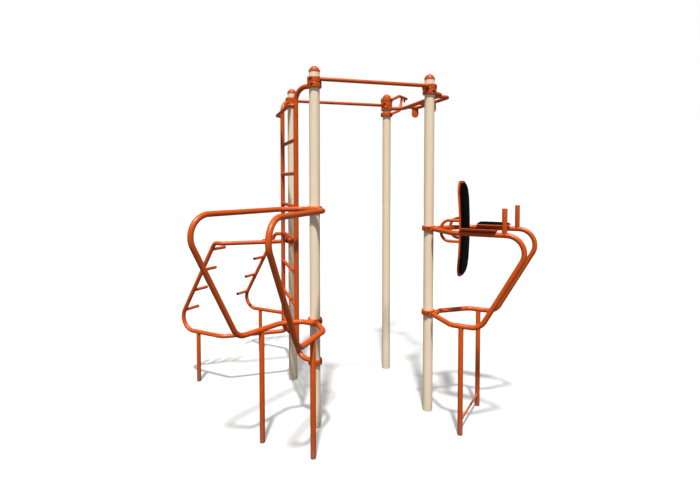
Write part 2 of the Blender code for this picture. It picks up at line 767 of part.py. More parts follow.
def make_arm_rest(word, side, station):
    centre = rail_point(LEG_RAISE_CORNER, 0, ARM_TRAY_DISTANCE, LEG_RAISE_HEIGHT, side)
    lean = new_empty("arm_rest_" + word + "_lean", station, centre)
    lean.rotation_euler = (side * ARM_TILT, 0, 0)
    half_x = ARM_TRAY_LENGTH / 2
    half_y = ARM_TRAY_WIDTH / 2
    outline = (half_x, half_y, ARM_TRAY_CORNER)
    foot = (ARM_TRAY_FOOT_INSET, ARM_TRAY_FLARE)
    tray_data = plate_mesh("arm_tray", *outline, ARM_TRAY_THICKNESS, *foot)
    tray = add_piece("arm_tray_" + word, tray_data, lean, ORANGE)
    tray.location = (0, 0, FRAME_RADIUS + FIT_GAP)
    corner = ARM_TRAY_CORNER - ARM_PAD_MARGIN
    pad_half_x = half_x - ARM_PAD_MARGIN
    pad_half_y = half_y - ARM_PAD_MARGIN
    pad_data = pad_mesh("arm_pad", pad_half_x, pad_half_y, corner, ARM_PAD_THICKNESS)
    pad = add_piece("arm_pad_" + word, pad_data, lean, BLACK)
    pad.location = (0, 0, FRAME_RADIUS + FIT_GAP + ARM_TRAY_THICKNESS + FIT_GAP)


def make_leg_raise_station():
    angle = math.radians(-45)
    station = new_empty("leg_raise_station", ROOT, POSTS["front_right"], angle)
    upper, split = make_hand_rail(
        "leg_raise_upper_tube",
        station,
        LEG_RAISE_CORNER,
        0,
        LEG_RAISE_REACH,
        LEG_RAISE_BEND_RADIUS,
        LEG_RAISE_SLOPE,
        LEG_RAISE_HEIGHT,
        LEG_RAISE_LOWER_HEIGHT,
    )
    make_hand_posts(upper, station)
    low = LEG_RAISE_LOWER_HEIGHT
    lower = make_lower_loop("leg_raise_lower_tube", station, LEG_RAISE_CORNER, 0, split, low)
    make_collar(upper, "leg_raise_upper", "front_right", LEG_RAISE_HEIGHT, angle)
    make_collar(lower, "leg_raise_lower", "front_right", low, angle)
    make_leg_raise_legs(station)
    make_back_rest(station)
    make_arm_rest("right", -1, station)
    make_arm_rest("left", 1, station)


def make_peg_rail(word, side, station, shoulder, foot, split):
    """A sloping side tube with its lower bend and a row of pegs that point inwards."""
    end = rail_point(PEG_CORNER, 0, split, PEG_FRAME_LOWER_HEIGHT, side)
    slope = (foot - shoulder).normalized()
    start = shoulder + slope * (SHOULDER_RUN + FIT_GAP)
    name = "peg_rail_" + word
    path = rounded_path([start, foot, end], [PEG_BEND_RADIUS])
    rail = add_piece(name, tube_mesh(name, path, FRAME_RADIUS), station, ORANGE)
    for number in range(PEG_COUNT):
        drop = PEG_TOP_DROP + number * PEG_PITCH
        root = shoulder + slope * (drop / math.sin(PEG_SLOPE))
        tip = root - Vector((0, side * PEG_LENGTH, 0))
        combine(rail, rod_tool("peg", root, tip, BAR_RADIUS, station), "UNION")


def make_peg_frame():
    angle = math.radians(135)
    station = new_empty("peg_frame", ROOT, POSTS["rear_left"], angle)
    high = PEG_FRAME_HEIGHT
    low = PEG_FRAME_LOWER_HEIGHT
    foot_distance = PEG_SHOULDER + PEG_FALL / math.tan(PEG_SLOPE)
    split = foot_distance - PEG_BEND_RADIUS / math.tan(PEG_SLOPE / 2) - BUTT_SETBACK
    shoulder = rail_point(PEG_CORNER, 0, PEG_SHOULDER, high)
    slope = (rail_point(PEG_CORNER, 0, foot_distance, low) - shoulder).normalized()
    half = [
        shoulder + slope * SHOULDER_RUN,
        shoulder,
        rail_point(PEG_CORNER, 0, 0, high),
        Vector((LOOP_CROSSING, LOOP_CROSSING, high)),
    ]
    radii = [PEG_SHOULDER_RADIUS, PEG_SHOULDER_RADIUS, LOOP_BEND_RADIUS]
    path = rounded_path(mirrored(half), radii + radii[::-1])
    upper = add_piece("peg_upper_tube", tube_mesh("peg_upper_tube", path, FRAME_RADIUS), station, ORANGE)
    lower = make_lower_loop("peg_lower_tube", station, PEG_CORNER, 0, split, low)
    make_collar(upper, "peg_upper", "rear_left", high, angle)
    make_collar(lower, "peg_lower", "rear_left", low, angle)
    for word, side in (("right", -1), ("left", 1)):
        rail_top = rail_point(PEG_CORNER, 0, PEG_SHOULDER, high, side)
        rail_foot = rail_point(PEG_CORNER, 0, foot_distance, low, side)
        make_peg_rail(word, side, station, rail_top, rail_foot, split)
        make_leg("peg_leg_" + word, station, PEG_CORNER, 0, split - PEG_LEG_INSET, low, side)


def tab_outline():
    """A tab that hangs from the origin along -Y, with a round lower end."""
    half = TAB_WIDTH / 2
    return [(half, 0), (-half, 0)] + arc(half, -math.pi, 0, centre=(0, -TAB_DROP))


def make_side_beam():
    height = SECOND_COLLAR_HEIGHT
    x = RIGHT_X + BEAM_OFFSET
    slant = BEAM_OFFSET * math.tan(BEAM_ANGLE)
    away = Vector((math.cos(BEAM_ANGLE), math.sin(BEAM_ANGLE), 0)) * TUBE_START
    front = POSTS["front_right"] + Vector((0, 0, height))
    rear = POSTS["rear_right"] + Vector((0, 0, height))
    corners = [
        front + away,
        Vector((x, FRONT_Y + slant, height)),
        Vector((x, REAR_Y - slant, height)),
        rear + Vector((away.x, -away.y, 0)),
    ]
    path = rounded_path(corners, [BEAM_BEND_RADIUS] * 2)
    beam = add_piece("side_grip_beam", tube_mesh("side_grip_beam", path, BEAM_RADIUS), ROOT, ORANGE)
    make_collar(beam, "side_beam", "front_right", height, BEAM_ANGLE)
    make_collar(beam, "side_beam", "rear_right", height, -BEAM_ANGLE)
    for first in (FRONT_Y + GRIP_START, REAR_Y - GRIP_START - GRIP_WIDTH):
        last = first + GRIP_WIDTH
        out = x + GRIP_DEPTH
        grip_corners = [Vector((x, first, height)), Vector((out, first, height))]
        grip_corners += [Vector((out, last, height)), Vector((x, last, height))]
        grip_path = rounded_path(grip_corners, [GRIP_BEND_RADIUS] * 2)
        grip = add_tool("side_grip", tube_mesh("side_grip", grip_path, BAR_RADIUS), ROOT)
        combine(beam, grip, "UNION")
        tab = add_tool("side_tab", outline_mesh("side_tab", tab_outline(), TAB_THICKNESS), ROOT)
        tab.location = (x + TAB_OFFSET, last, height)
        tab.rotation_euler = (math.pi / 2, 0, 0)
        combine(beam, tab, "UNION")


def make_bag_hanger():
    angle = math.radians(45)
    station = new_empty("bag_station", ROOT, POSTS["rear_right"], angle)
    arm_low = TOP_COLLAR_HEIGHT
    arm_high = arm_low + HANGER_RISE
    brace_low = SECOND_COLLAR_HEIGHT - STACK_PITCH - BRACE_EXTRA_DROP
    arm_corners = [
        Vector((TUBE_START, 0, arm_low)),
        Vector((HANGER_KNEE, 0, arm_high)),
        Vector((HANGER_REACH, 0, arm_high)),
    ]
    arm_path = rounded_path(arm_corners, [HANGER_BEND_RADIUS])
    hanger = add_piece("bag_hanger", tube_mesh("bag_hanger", arm_path, BAR_RADIUS), station, ORANGE)
    brace_corners = [
        Vector((TUBE_START, 0, brace_low)),
        Vector((BRACE_KNEE, 0, brace_low + BRACE_RISE)),
        Vector((BRACE_TOP, 0, arm_high)),
    ]
    brace_path = rounded_path(brace_corners, [BRACE_BEND_RADIUS])
    brace = add_tool("bag_brace", tube_mesh("bag_brace", brace_path, BRACE_RADIUS), station)
    combine(hanger, brace, "UNION")
    half = LUG_WIDTH / 2
    lug_points = [(half, 0), (-half, 0)] + arc(half, -math.pi, 0, centre=(0, half - LUG_DROP))
    lug = add_tool("bag_lug", outline_mesh("bag_lug", lug_points, LUG_THICKNESS), station)
    lug.location = (LUG_POSITION, 0, arm_high)
    lug.rotation_euler = (math.pi / 2, 0, 0)
    combine(hanger, lug, "UNION")
    through = Vector((0, LUG_THICKNESS + CUT_OVERRUN, 0))
    eye = Vector((LUG_POSITION, 0, arm_high + half - LUG_DROP))
    hole = rod_tool("bag_eye", eye - through, eye + through, LUG_HOLE_RADIUS, station)
    combine(hanger, hole, "DIFFERENCE")
    foot = Vector((0, 0, brace_low - COLLAR_HEIGHT))
    head = Vector((0, 0, arm_low + COLLAR_HEIGHT))
    saddle(hanger, "post_saddle", foot, head, COLLAR_BORE, station)
    make_collar(hanger, "bag_arm", "rear_right", arm_low, angle)
    make_collar(hanger, "bag_brace", "rear_right", brace_low, angle)


def stand_on_origin():
    """Shifts the unit so that the middle of its footprint is at the origin."""
    bpy.context.view_layer.update()
    graph = bpy.context.evaluated_depsgraph_get()
    points = []
    for piece in UNIT.objects:
        if piece.type == "MESH":
            evaluated = piece.evaluated_get(graph)
            points += [evaluated.matrix_world @ vertex.co for vertex in evaluated.data.vertices]
    for axis in (0, 1):
        spread = [point[axis] for point in points]
        ROOT.location[axis] = -(min(spread) + max(spread)) / 2
    bpy.context.view_layer.update()


make_posts()
make_caps()
make_pull_up_bar("front", FRONT_Y, -1)
make_pull_up_bar("rear", REAR_Y, 1)
make_stile("front")
make_stile("rear")
make_rungs()
make_bowed_rung()
make_dip_station()
make_leg_raise_station()
make_peg_frame()
make_side_beam()
make_bag_hanger()
stand_on_origin()
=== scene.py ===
"""Looks of the multi-station fitness unit: round tubes with welds, collars, bolts, pads and paint.

Metres, +Z up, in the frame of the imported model. The sizes of the stations repeat those of the part's
source; the places of the posts and the heights of the collars are read from the frame.
"""

import math

import bmesh
import bpy
from mathutils import Matrix, Vector


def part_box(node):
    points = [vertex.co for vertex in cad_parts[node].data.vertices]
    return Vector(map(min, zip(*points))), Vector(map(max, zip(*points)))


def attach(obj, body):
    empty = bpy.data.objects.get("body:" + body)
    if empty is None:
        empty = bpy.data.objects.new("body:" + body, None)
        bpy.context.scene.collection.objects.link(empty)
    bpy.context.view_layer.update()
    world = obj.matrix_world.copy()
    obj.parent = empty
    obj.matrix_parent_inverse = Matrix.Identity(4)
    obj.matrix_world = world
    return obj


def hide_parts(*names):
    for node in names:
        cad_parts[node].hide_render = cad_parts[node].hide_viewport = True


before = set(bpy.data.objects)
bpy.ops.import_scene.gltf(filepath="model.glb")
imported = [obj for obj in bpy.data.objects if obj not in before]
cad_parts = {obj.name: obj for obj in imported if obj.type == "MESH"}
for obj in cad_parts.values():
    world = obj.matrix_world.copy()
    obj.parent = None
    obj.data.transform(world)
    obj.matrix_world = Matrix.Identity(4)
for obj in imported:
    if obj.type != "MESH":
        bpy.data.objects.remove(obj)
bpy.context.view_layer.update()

# Collars and their bolts
COLLAR_BORE = 0.037
COLLAR_RADIUS = 0.0495
COLLAR_HEIGHT = 0.0365
COLLAR_SPLIT = 0.002
COLLAR_EASE = 0.0008
COLLAR_ROUNDING = 0.0042
EAR_REACH = 0.0535
EAR_THICKNESS = 0.011
POCKET_START = 0.0085
POCKET_LENGTH = 0.026
POCKET_HALF_HEIGHT = 0.0072
POCKET_FLOOR = 0.0412
BOLT_OFFSET = 0.0475
BOLT_HEAD_RADIUS = 0.0058
BOLT_HEAD_HEIGHT = 0.0056
BOLT_SHANK_RADIUS = 0.0032
NUT_HEIGHT = 0.0052
STUD_END = 0.0022
WASHER_RADIUS = 0.0072
WASHER_THICKNESS = 0.0014
BOLT_EASE = 0.0006

# Caps
CAP_RADIUS = 0.0395
CAP_SKIRT_DEPTH = 0.006
CAP_RIM_HEIGHT = 0.004
CAP_RIM_SLOPE = 0.002
CAP_RIM_WIDTH = 0.0045
CAP_DOME_RADIUS = CAP_RADIUS - CAP_RIM_WIDTH
CAP_DOME_HEIGHT = 0.029
CAP_DOME_TAPER = 1.4
CAP_LIP = 0.0009

# Tubes
FRAME_RADIUS = 0.0175
BAR_RADIUS = 0.0135
BEAM_RADIUS = 0.016
HAND_POST_RADIUS = 0.017
BRACE_RADIUS = 0.0125
HOOP_RADIUS = 0.011
STEP_RADIUS = 0.008
END_EASE = 0.0018
HANGER_END_EASE = 1.5 * END_EASE
BUTT_EASE = 0.0007
WELD_BITE = 0.002
FIT_GAP = 0.0003
BUTT_SETBACK = 0.018
TUBE_START = COLLAR_BORE + (COLLAR_RADIUS - COLLAR_BORE) / 2 - WELD_BITE

# Pull-up bars
BAR_INSET = 0.0075
BAR_OFFSET = COLLAR_RADIUS - BAR_INSET
BAR_COLLAR_TURN = math.radians(63)

# Ladder
STILE_OFFSET = 0.103
STILE_INSET = 0.136
STILE_BEND_RADIUS = 0.092
LADDER_FOOTROOM = 0.120
LADDER_HEADROOM = 0.12075
RUNG_COUNT = 7
BOW_DEPTH = 0.045
BOW_BEND_RADIUS = 0.024

# Loops that carry the stations
LOOP_CROSSING = COLLAR_RADIUS + FRAME_RADIUS - WELD_BITE
LOOP_BEND_RADIUS = 0.050
LOOP_CORNER_RADIUS = 0.080
LOWER_BEND_RADIUS = 0.102

# Dip station
DIP_HEADING = math.radians(225)
DIP_CORNER = 0.175
DIP_SPLAY = math.radians(7.84)
DIP_REACH = 0.785
DIP_BEND_RADIUS = 0.125
DIP_SLOPE = math.radians(61.9)
DIP_LEG_DISTANCE = 0.166

# Leg-raise station
LEG_RAISE_HEADING = math.radians(-45)
LEG_RAISE_CORNER = 0.245
LEG_RAISE_REACH = 0.548
LEG_RAISE_BEND_RADIUS = 0.112
LEG_RAISE_SLOPE = math.radians(60.7)
LEG_RAISE_LEG_DISTANCE = 0.070
HAND_POST_DISTANCE = 0.346
HAND_POST_LENGTH = 0.173
STEP_HEIGHT = 0.090

# Back rest and arm rests
BACK_DISTANCE = 0.260
BACK_RISE = 0.009
BACK_WIDTH = 0.240
BACK_HEIGHT = 0.684
BACK_CORNER = 0.090
BACK_BOW = 0.020
BACK_BOW_STEPS = 30
BACK_PLATE_THICKNESS = 0.011
BACK_PAD_THICKNESS = 0.016
BACK_PAD_MARGIN = 0.009
HOOP_OFFSET = 0.115
HOOP_BACK = 0.132
HOOP_HALF_HEIGHT = 0.073
HOOP_BEND_RADIUS = 0.060
ARM_TRAY_DISTANCE = 0.177
ARM_TRAY_LENGTH = 0.244
ARM_TRAY_WIDTH = 0.096
ARM_TRAY_THICKNESS = 0.014
ARM_TRAY_CORNER = 0.030
ARM_TRAY_FOOT_INSET = 0.009
ARM_TRAY_FLARE = 0.010
ARM_PAD_MARGIN = 0.005
ARM_PAD_THICKNESS = 0.010
ARM_TILT = math.radians(8)
PLATE_EASE = 0.0022

# Peg frame
PEG_HEADING = math.radians(135)
PEG_CORNER = 0.419
PEG_SHOULDER = 0.076
PEG_SHOULDER_RADIUS = 0.050
PEG_BEND_RADIUS = 0.115
PEG_SLOPE = math.radians(59.7)
PEG_LENGTH = 0.159
PEG_PLUG_LENGTH = 0.005
PEG_PLUG_EASE = 0.0018
PEG_TOP_DROP = 0.055
PEG_FOOT_RISE = 0.170
PEG_COUNT = 4
PEG_LEG_INSET = 0.041

# Side beam and its grips
BEAM_OFFSET = 0.135
BEAM_ANGLE = math.radians(30)
BEAM_BEND_RADIUS = 0.060
GRIP_START = 0.148
GRIP_WIDTH = 0.232
GRIP_DEPTH = 0.107
GRIP_BEND_RADIUS = 0.040
TAB_WIDTH = 0.062
TAB_DROP = 0.058
TAB_THICKNESS = 0.010
TAB_OFFSET = 0.078

# Bag hanger
HANGER_HEADING = math.radians(45)
HANGER_KNEE = 0.300
HANGER_RISE = 0.0865
HANGER_REACH = 0.485
HANGER_BEND_RADIUS = 0.080
BRACE_KNEE = 0.316
BRACE_RISE = 0.082
BRACE_TOP = 0.370
BRACE_BEND_RADIUS = 0.040
LUG_POSITION = 0.430
LUG_WIDTH = 0.030
LUG_DROP = 0.044
LUG_THICKNESS = 0.008
LUG_HOLE_RADIUS = 0.009

# Welds
BEAD_RADIUS = 0.0023
BEAD_RIPPLE_SHARE = 0.16
BEAD_PITCH = 0.0035
BEAD_SIDES = 8
BEAD_POINT_SPACING = 0.0011
LEAST_BEAD_POINTS = 8
LEAST_RIPPLES = 4
BEAD_TAIL_START = 0.08
BEAD_TAIL_SLOPE = 3
CROSSING_BEAD_RADIUS = 1.5 * BEAD_RADIUS
CROSSING_BEAD_INSET = 1.6 * BEAD_RADIUS
CROSSING_BEAD_HALF = COLLAR_RADIUS / 2.4
CROSSING_BEAD_BEND = 0.6
CROSSING_BEAD_STEPS = 8

# Pads
PAD_SIDE_BULGE = 0.004
PAD_EDGE_HEIGHT_SHARE = 0.72
PAD_CROWN_RING_SHARES = (0.04, 0.12, 0.22, 0.36, 0.52, 0.70, 0.86)
PAD_START_INSET = 0.0015
PAD_START_DROP = 0.0015
PAD_VOXEL = 0.004
PAD_PRESSURE = 4.0
PAD_SWELL_LIMIT = 0.0022
PAD_FRAMES = 20
PAD_SMOOTHING_STEPS = 10
PAD_SMOOTHING_SHARE = 0.5
SMALLEST_THICKNESS = 0.001

# Facets
TUBE_SIDES = 32
BEND_STEP = math.radians(5)
ROUND_STEPS = 64
POST_SIDES = 96
DOME_STEPS = 14
EASE_STEPS = 3
COLLAR_ARC_STEPS = 30
COLLAR_ROUND_STEPS = 5
DISC_SIDES = 32
TAB_ARC_STEPS = 24
LUG_STEPS = 48
HEX_SIDES = 6
PAD_SIDE_STEPS = 8
CORNER_STEPS = 16
SHARP_ANGLE = math.radians(32)

# Small screws: four behind the back plate, one near the foot of each post
SCREW_SPREAD = 0.055
SCREW_RISE = 0.225
PLATE_SCREW_RADIUS = 0.007
PLATE_SCREW_HEIGHT = 0.0032
SCREW_DOME_STEPS = 6
SCREW_SIDES = 32
POST_SCREW_SIDES = 24
POST_SCREW_HEIGHT = 0.028
POST_SCREW_RADIUS = 0.0042
POST_SCREW_DOME = 0.0022
POST_SCREW_TURN = math.radians(-50)

# Scale, detail and roughness of the noises in the finishes, and how far the scuffs are stretched
MOTTLE = (9.0, 4.0)
SPECKLE = (420.0, 2.0)
SCUFF = (1.0, 6.0, 0.65)
SCUFF_STRETCH = (60, 60, 14)
DULL_PATCHES = (26.0, 5.0)
PEEL = (620.0, 1.0)
WAVE = (85.0, 2.0)
RUBBED = (14.0, 5.0)
FOLDS = (240.0, 4.0)
STEEL_PATCHES = (180.0, 4.0)
TURNING_MARKS = (900.0, 2.0)
FLOOR_GRAIN = (3.0, 3.0)

# What a noise becomes: lowest and highest value, and the part of the noise that is spread over them
MOTTLE_SPREAD = (0, 1, 0.35, 0.68)
SPECKLE_SPREAD = (0, 0.18, 0.45, 0.75)
SCUFF_SPREAD = (0, 0.30, 0.66, 0.80)
DUST_SPREAD = (0.05, 0.30)
RUBBED_SPREAD = (0, 1, 0.4, 0.75)
STEEL_SPREAD = (0, 1, 0.45, 0.8)
PAD_ROUGHNESS = (0.48, 0.66)
STEEL_ROUGHNESS = (0.34, 0.52)
ROUGHNESS_BELOW = 0.06
ROUGHNESS_ABOVE = 0.12
DUST_HEIGHT = 0.16

# Depth in metres and strength of each relief
WAVE_RELIEF = (0.0016, 0.14)
PEEL_RELIEF = (0.0005, 0.24)
FOLD_RELIEF = (0.0006, 0.20)
CELL_RELIEF = (0.0005, 0.45)
MARK_RELIEF = (0.0003, 0.2)

# Paint and light
WHITE = (1, 1, 1, 1)
ORANGE_PAINT = (0.56, 0.079, 0.0015)
ORANGE_DEEP = (0.51, 0.068, 0.001)
ORANGE_WORN = (0.62, 0.115, 0.018)
CREAM_PAINT = (0.83, 0.69, 0.505)
CREAM_DEEP = (0.81, 0.665, 0.48)
CREAM_WORN = (0.73, 0.64, 0.505)
DUST = (0.42, 0.38, 0.33)
PAD_BLACK = (0.0016, 0.0012, 0.0011)
PAD_RUBBED = (0.0038, 0.003, 0.0028)
STEEL_DARK = (0.03, 0.027, 0.026)
STEEL_BRIGHT = (0.09, 0.085, 0.08)
PLUG_BLACK = (0.008, 0.0075, 0.007)
PLUG_RUBBED = (0.018, 0.017, 0.016)
FLOOR_LIGHT = (0.49, 0.49, 0.49)
FLOOR_PALE = (0.47, 0.47, 0.47)
FLOOR_DULL = (0.10, 0.10, 0.10)
FLOOR_GLOW = 0.25
WORLD_STRENGTH = 0.42
WORLD_SHEEN = 0.08
SUN_HEADING = math.radians(19.4)
SUN_HEIGHT = math.radians(64.7)
SUN_WIDTH = math.radians(3.5)
SUN_STRENGTH = 5.1
SUN_COLOUR = (1.0, 0.99, 0.975)

# Floor and camera, whose place is counted from the foot of the front left post
FLOOR_HALF = 30.0
CAMERA_PLACE = Vector((-0.743, -3.268, 1.720))
CAMERA_HEADING = math.radians(17)
CAMERA_DIP = math.radians(2.41)
CAMERA_LENS_MM = 24.993
CAMERA_SENSOR_MM = 36.0
CAMERA_SHIFT = (-0.0004, -0.0620)

# Posts, and directions that many pieces use
POST_NAMES = ("front_left", "front_right", "rear_left", "rear_right")
POST_WALL = 0.003
NEARLY_UPRIGHT = 0.9
QUARTERS = ((1, 1), (-1, 1), (-1, -1), (1, -1))
SIDES = (("right", -1), ("left", 1))
UP = Vector((0, 0, 1))
EAST = Vector((1, 0, 0))
NORTH = Vector((0, 1, 0))


def post_axis(name):
    low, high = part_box("post_" + name)
    return Vector(((low[0] + high[0]) / 2, (low[1] + high[1]) / 2, 0))


def collar_height(name):
    low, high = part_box("collar_" + name)
    return (low[2] + high[2]) / 2


UPRIGHT = Matrix.Rotation(math.pi / 2, 4, "X")
ALONG_Y = Matrix.Rotation(math.pi / 2, 4, "Z")
FACING_OUT = ALONG_Y @ UPRIGHT
TO_SIDE = Matrix.Rotation(math.pi / 2, 4, "Y")
POSTS = {name: post_axis(name) for name in POST_NAMES}
POST_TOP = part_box("post_front_left")[1][2]
POST_RADIUS = (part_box("post_front_left")[1][0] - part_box("post_front_left")[0][0]) / 2


# Materials
def new_finish(name):
    finish = bpy.data.materials.new(name)
    finish.use_nodes = True
    return finish, finish.node_tree, finish.node_tree.nodes["Principled BSDF"]


def set_sockets(node, values):
    for socket, value in values.items():
        node.inputs[socket].default_value = value


def add_node(tree, kind, **values):
    """A new node whose sockets, or else its own settings, take the values of these names."""
    node = tree.nodes.new(kind)
    for key, value in values.items():
        socket = key.replace("_", " ").title()
        if socket in node.inputs:
            node.inputs[socket].default_value = value
        else:
            setattr(node, key, value)
    return node


def surface_position(tree, stretch=(1, 1, 1)):
    """The place on the surface in metres, which rides with the piece."""
    place = tree.nodes.new("ShaderNodeTexCoord")
    mapping = add_node(tree, "ShaderNodeMapping", scale=stretch)
    tree.links.new(place.outputs["Object"], mapping.inputs["Vector"])
    return mapping.outputs["Vector"]


def noise(tree, where, scale, detail, roughness=0.5):
    node = add_node(tree, "ShaderNodeTexNoise", scale=scale, detail=detail, roughness=roughness)
    tree.links.new(where, node.inputs["Vector"])
    return node.outputs["Fac"]


def spread(tree, value, low, high, from_low=0.3, from_high=0.7):
    node = tree.nodes.new("ShaderNodeMapRange")
    set_sockets(node, {"From Min": from_low, "From Max": from_high, "To Min": low, "To Max": high})
    tree.links.new(value, node.inputs["Value"])
    return node.outputs["Result"]


def blend_colours(tree, value, first, second):
    """A mix of two colours; its sockets go by number, because other kinds of value share their names."""
    node = add_node(tree, "ShaderNodeMix", data_type="RGBA")
    for socket, colour in ((node.inputs[6], first), (node.inputs[7], second)):
        if isinstance(colour, tuple):
            socket.default_value = (*colour, 1)
        else:
            tree.links.new(colour, socket)
    tree.links.new(value, node.inputs[0])
    return node.outputs[2]


def relief(tree, heights, shader):
    """Bump from several heights, each with its depth in metres and its strength."""
    normal = None
    for value, distance, strength in heights:
        bump = add_node(tree, "ShaderNodeBump", distance=distance, strength=strength)
        tree.links.new(value, bump.inputs["Height"])
        if normal:
            tree.links.new(normal, bump.inputs["Normal"])
        normal = bump.outputs["Normal"]
    tree.links.new(normal, shader.inputs["Normal"])


def above_ground(tree, low, high):
    """From 1 at the low height to 0 at the high one."""
    place = tree.nodes.new("ShaderNodeTexCoord")
    split = tree.nodes.new("ShaderNodeSeparateXYZ")
    tree.links.new(place.outputs["Object"], split.inputs["Vector"])
    return spread(tree, split.outputs["Z"], 1, 0, low, high)


def multiply(tree, first, second):
    node = add_node(tree, "ShaderNodeMath", operation="MULTIPLY")
    for socket, value in zip(node.inputs, (first, second)):
        if isinstance(value, float):
            socket.default_value = value
        else:
            tree.links.new(value, socket)
    return node.outputs["Value"]


def powder_coat(name, colour, deep, worn, roughness, coat):
    """Sprayed and baked paint: slight mottling, orange peel, dulled patches and dust at the foot."""
    finish, tree, shader = new_finish(name)
    where = surface_position(tree)
    mottle = noise(tree, where, *MOTTLE)
    speckle = noise(tree, where, *SPECKLE)
    scuff = noise(tree, surface_position(tree, SCUFF_STRETCH), *SCUFF)
    paint = blend_colours(tree, spread(tree, mottle, *MOTTLE_SPREAD), colour, deep)
    paint = blend_colours(tree, spread(tree, speckle, *SPECKLE_SPREAD), paint, worn)
    paint = blend_colours(tree, spread(tree, scuff, *SCUFF_SPREAD), paint, worn)
    dust = multiply(tree, above_ground(tree, 0, DUST_HEIGHT), spread(tree, mottle, *DUST_SPREAD))
    paint = blend_colours(tree, dust, paint, DUST)
    tree.links.new(paint, shader.inputs["Base Color"])
    patches = noise(tree, where, *DULL_PATCHES)
    dulled = spread(tree, patches, roughness - ROUGHNESS_BELOW, roughness + ROUGHNESS_ABOVE)
    tree.links.new(dulled, shader.inputs["Roughness"])
    set_sockets(shader, {"Coat Weight": coat, "Coat Roughness": 0.22, "Specular IOR Level": 0.45})
    peel = noise(tree, where, *PEEL)
    wave = noise(tree, where, *WAVE)
    relief(tree, [(wave, *WAVE_RELIEF), (peel, *PEEL_RELIEF)], shader)
    return finish


def pad_skin():
    """Black moulded skin with a fine leather grain, greyer where it is rubbed."""
    finish, tree, shader = new_finish("black_pad_skin")
    where = surface_position(tree)
    rubbed = noise(tree, where, *RUBBED)
    black = blend_colours(tree, spread(tree, rubbed, *RUBBED_SPREAD), PAD_BLACK, PAD_RUBBED)
    tree.links.new(black, shader.inputs["Base Color"])
    tree.links.new(spread(tree, rubbed, *PAD_ROUGHNESS), shader.inputs["Roughness"])
    set_sockets(shader, {"Specular IOR Level": 0.04})
    cells = add_node(tree, "ShaderNodeTexVoronoi", scale=480.0, randomness=1.0)
    tree.links.new(where, cells.inputs["Vector"])
    folds = noise(tree, where, *FOLDS)
    relief(tree, [(folds, *FOLD_RELIEF), (cells.outputs["Distance"], *CELL_RELIEF)], shader)
    return finish


def plated_steel(name, colour, bright, metallic):
    """Dark plated steel with turning marks and brighter rubbed patches."""
    finish, tree, shader = new_finish(name)
    where = surface_position(tree)
    patches = noise(tree, where, *STEEL_PATCHES)
    steel = blend_colours(tree, spread(tree, patches, *STEEL_SPREAD), colour, bright)
    tree.links.new(steel, shader.inputs["Base Color"])
    tree.links.new(spread(tree, patches, *STEEL_ROUGHNESS), shader.inputs["Roughness"])
    set_sockets(shader, {"Metallic": metallic})
    relief(tree, [(noise(tree, where, *TURNING_MARKS), *MARK_RELIEF)], shader)
    return finish


def floor_finish():
    """Pale matt floor, white to the camera with the unit's shadow, that throws little light back up."""
    finish, tree, shader = new_finish("studio_floor")
    grain = noise(tree, surface_position(tree), *FLOOR_GRAIN)
    pale = blend_colours(tree, grain, FLOOR_PALE, FLOOR_LIGHT)
    rays = tree.nodes.new("ShaderNodeLightPath")
    seen = blend_colours(tree, rays.outputs["Is Camera Ray"], FLOOR_DULL, pale)
    tree.links.new(seen, shader.inputs["Base Color"])
    glow = multiply(tree, rays.outputs["Is Camera Ray"], FLOOR_GLOW)
    tree.links.new(glow, shader.inputs["Emission Strength"])
    set_sockets(shader, {"Emission Color": WHITE, "Roughness": 0.9, "Specular IOR Level": 0.1})
    return finish


ORANGE = powder_coat("orange_powder_coat", ORANGE_PAINT, ORANGE_DEEP, ORANGE_WORN, roughness=0.36, coat=0.05)
CREAM = powder_coat("cream_powder_coat", CREAM_PAINT, CREAM_DEEP, CREAM_WORN, roughness=0.46, coat=0.03)
PAD_SKIN = pad_skin()
STEEL = plated_steel("dark_plated_steel", STEEL_DARK, STEEL_BRIGHT, metallic=0.7)
PLUG = plated_steel("black_plastic_plug", PLUG_BLACK, PLUG_RUBBED, metallic=0.0)


# Mesh tools
def rounded_path(corners, radii):
    """Points along straight runs through the corners, each corner replaced by an arc."""
    points = [corners[0]]
    for before, corner, after, radius in zip(corners, corners[1:], corners[2:], radii):
        along = (corner - before).normalized()
        onward = (after - corner).normalized()
        turn = along.angle(onward)
        start = corner - along * radius * math.tan(turn / 2)
        axis = along.cross(onward).normalized()
        centre = start + axis.cross(along) * radius
        steps = max(2, math.ceil(turn / BEND_STEP))
        for step in range(steps + 1):
            points.append(centre + Matrix.Rotation(turn * step / steps, 3, axis) @ (start - centre))
    points.append(corners[-1])
    return points


def mirrored(half):
    """Points on one side of the X axis, followed back by their twins on the other."""
    return half + [Vector((point.x, -point.y, point.z)) for point in reversed(half)]


def square_to(direction):
    """Two unit directions square to this one and to each other."""
    helper = UP if abs(direction.z) < NEARLY_UPRIGHT else EAST
    side = direction.cross(helper).normalized()
    return side, direction.cross(side).normalized()


def ring(work, centre, side, other, radius, count):
    points = []
    for index in range(count):
        angle = math.tau * index / count
        points.append(work.verts.new(centre + radius * (math.cos(angle) * side + math.sin(angle) * other)))
    return points


def skin(work, rings, closed=False):
    """Quads between neighbouring rings; the ends are capped unless the rings close on themselves."""
    pairs = list(zip(rings, rings[1:]))
    if closed:
        pairs.append((rings[-1], rings[0]))
    for lower, upper in pairs:
        count = len(lower)
        for index in range(count):
            follow = (index + 1) % count
            work.faces.new((lower[index], lower[follow], upper[follow], upper[index]))
    if not closed:
        work.faces.new(list(reversed(rings[0])))
        work.faces.new(rings[-1])


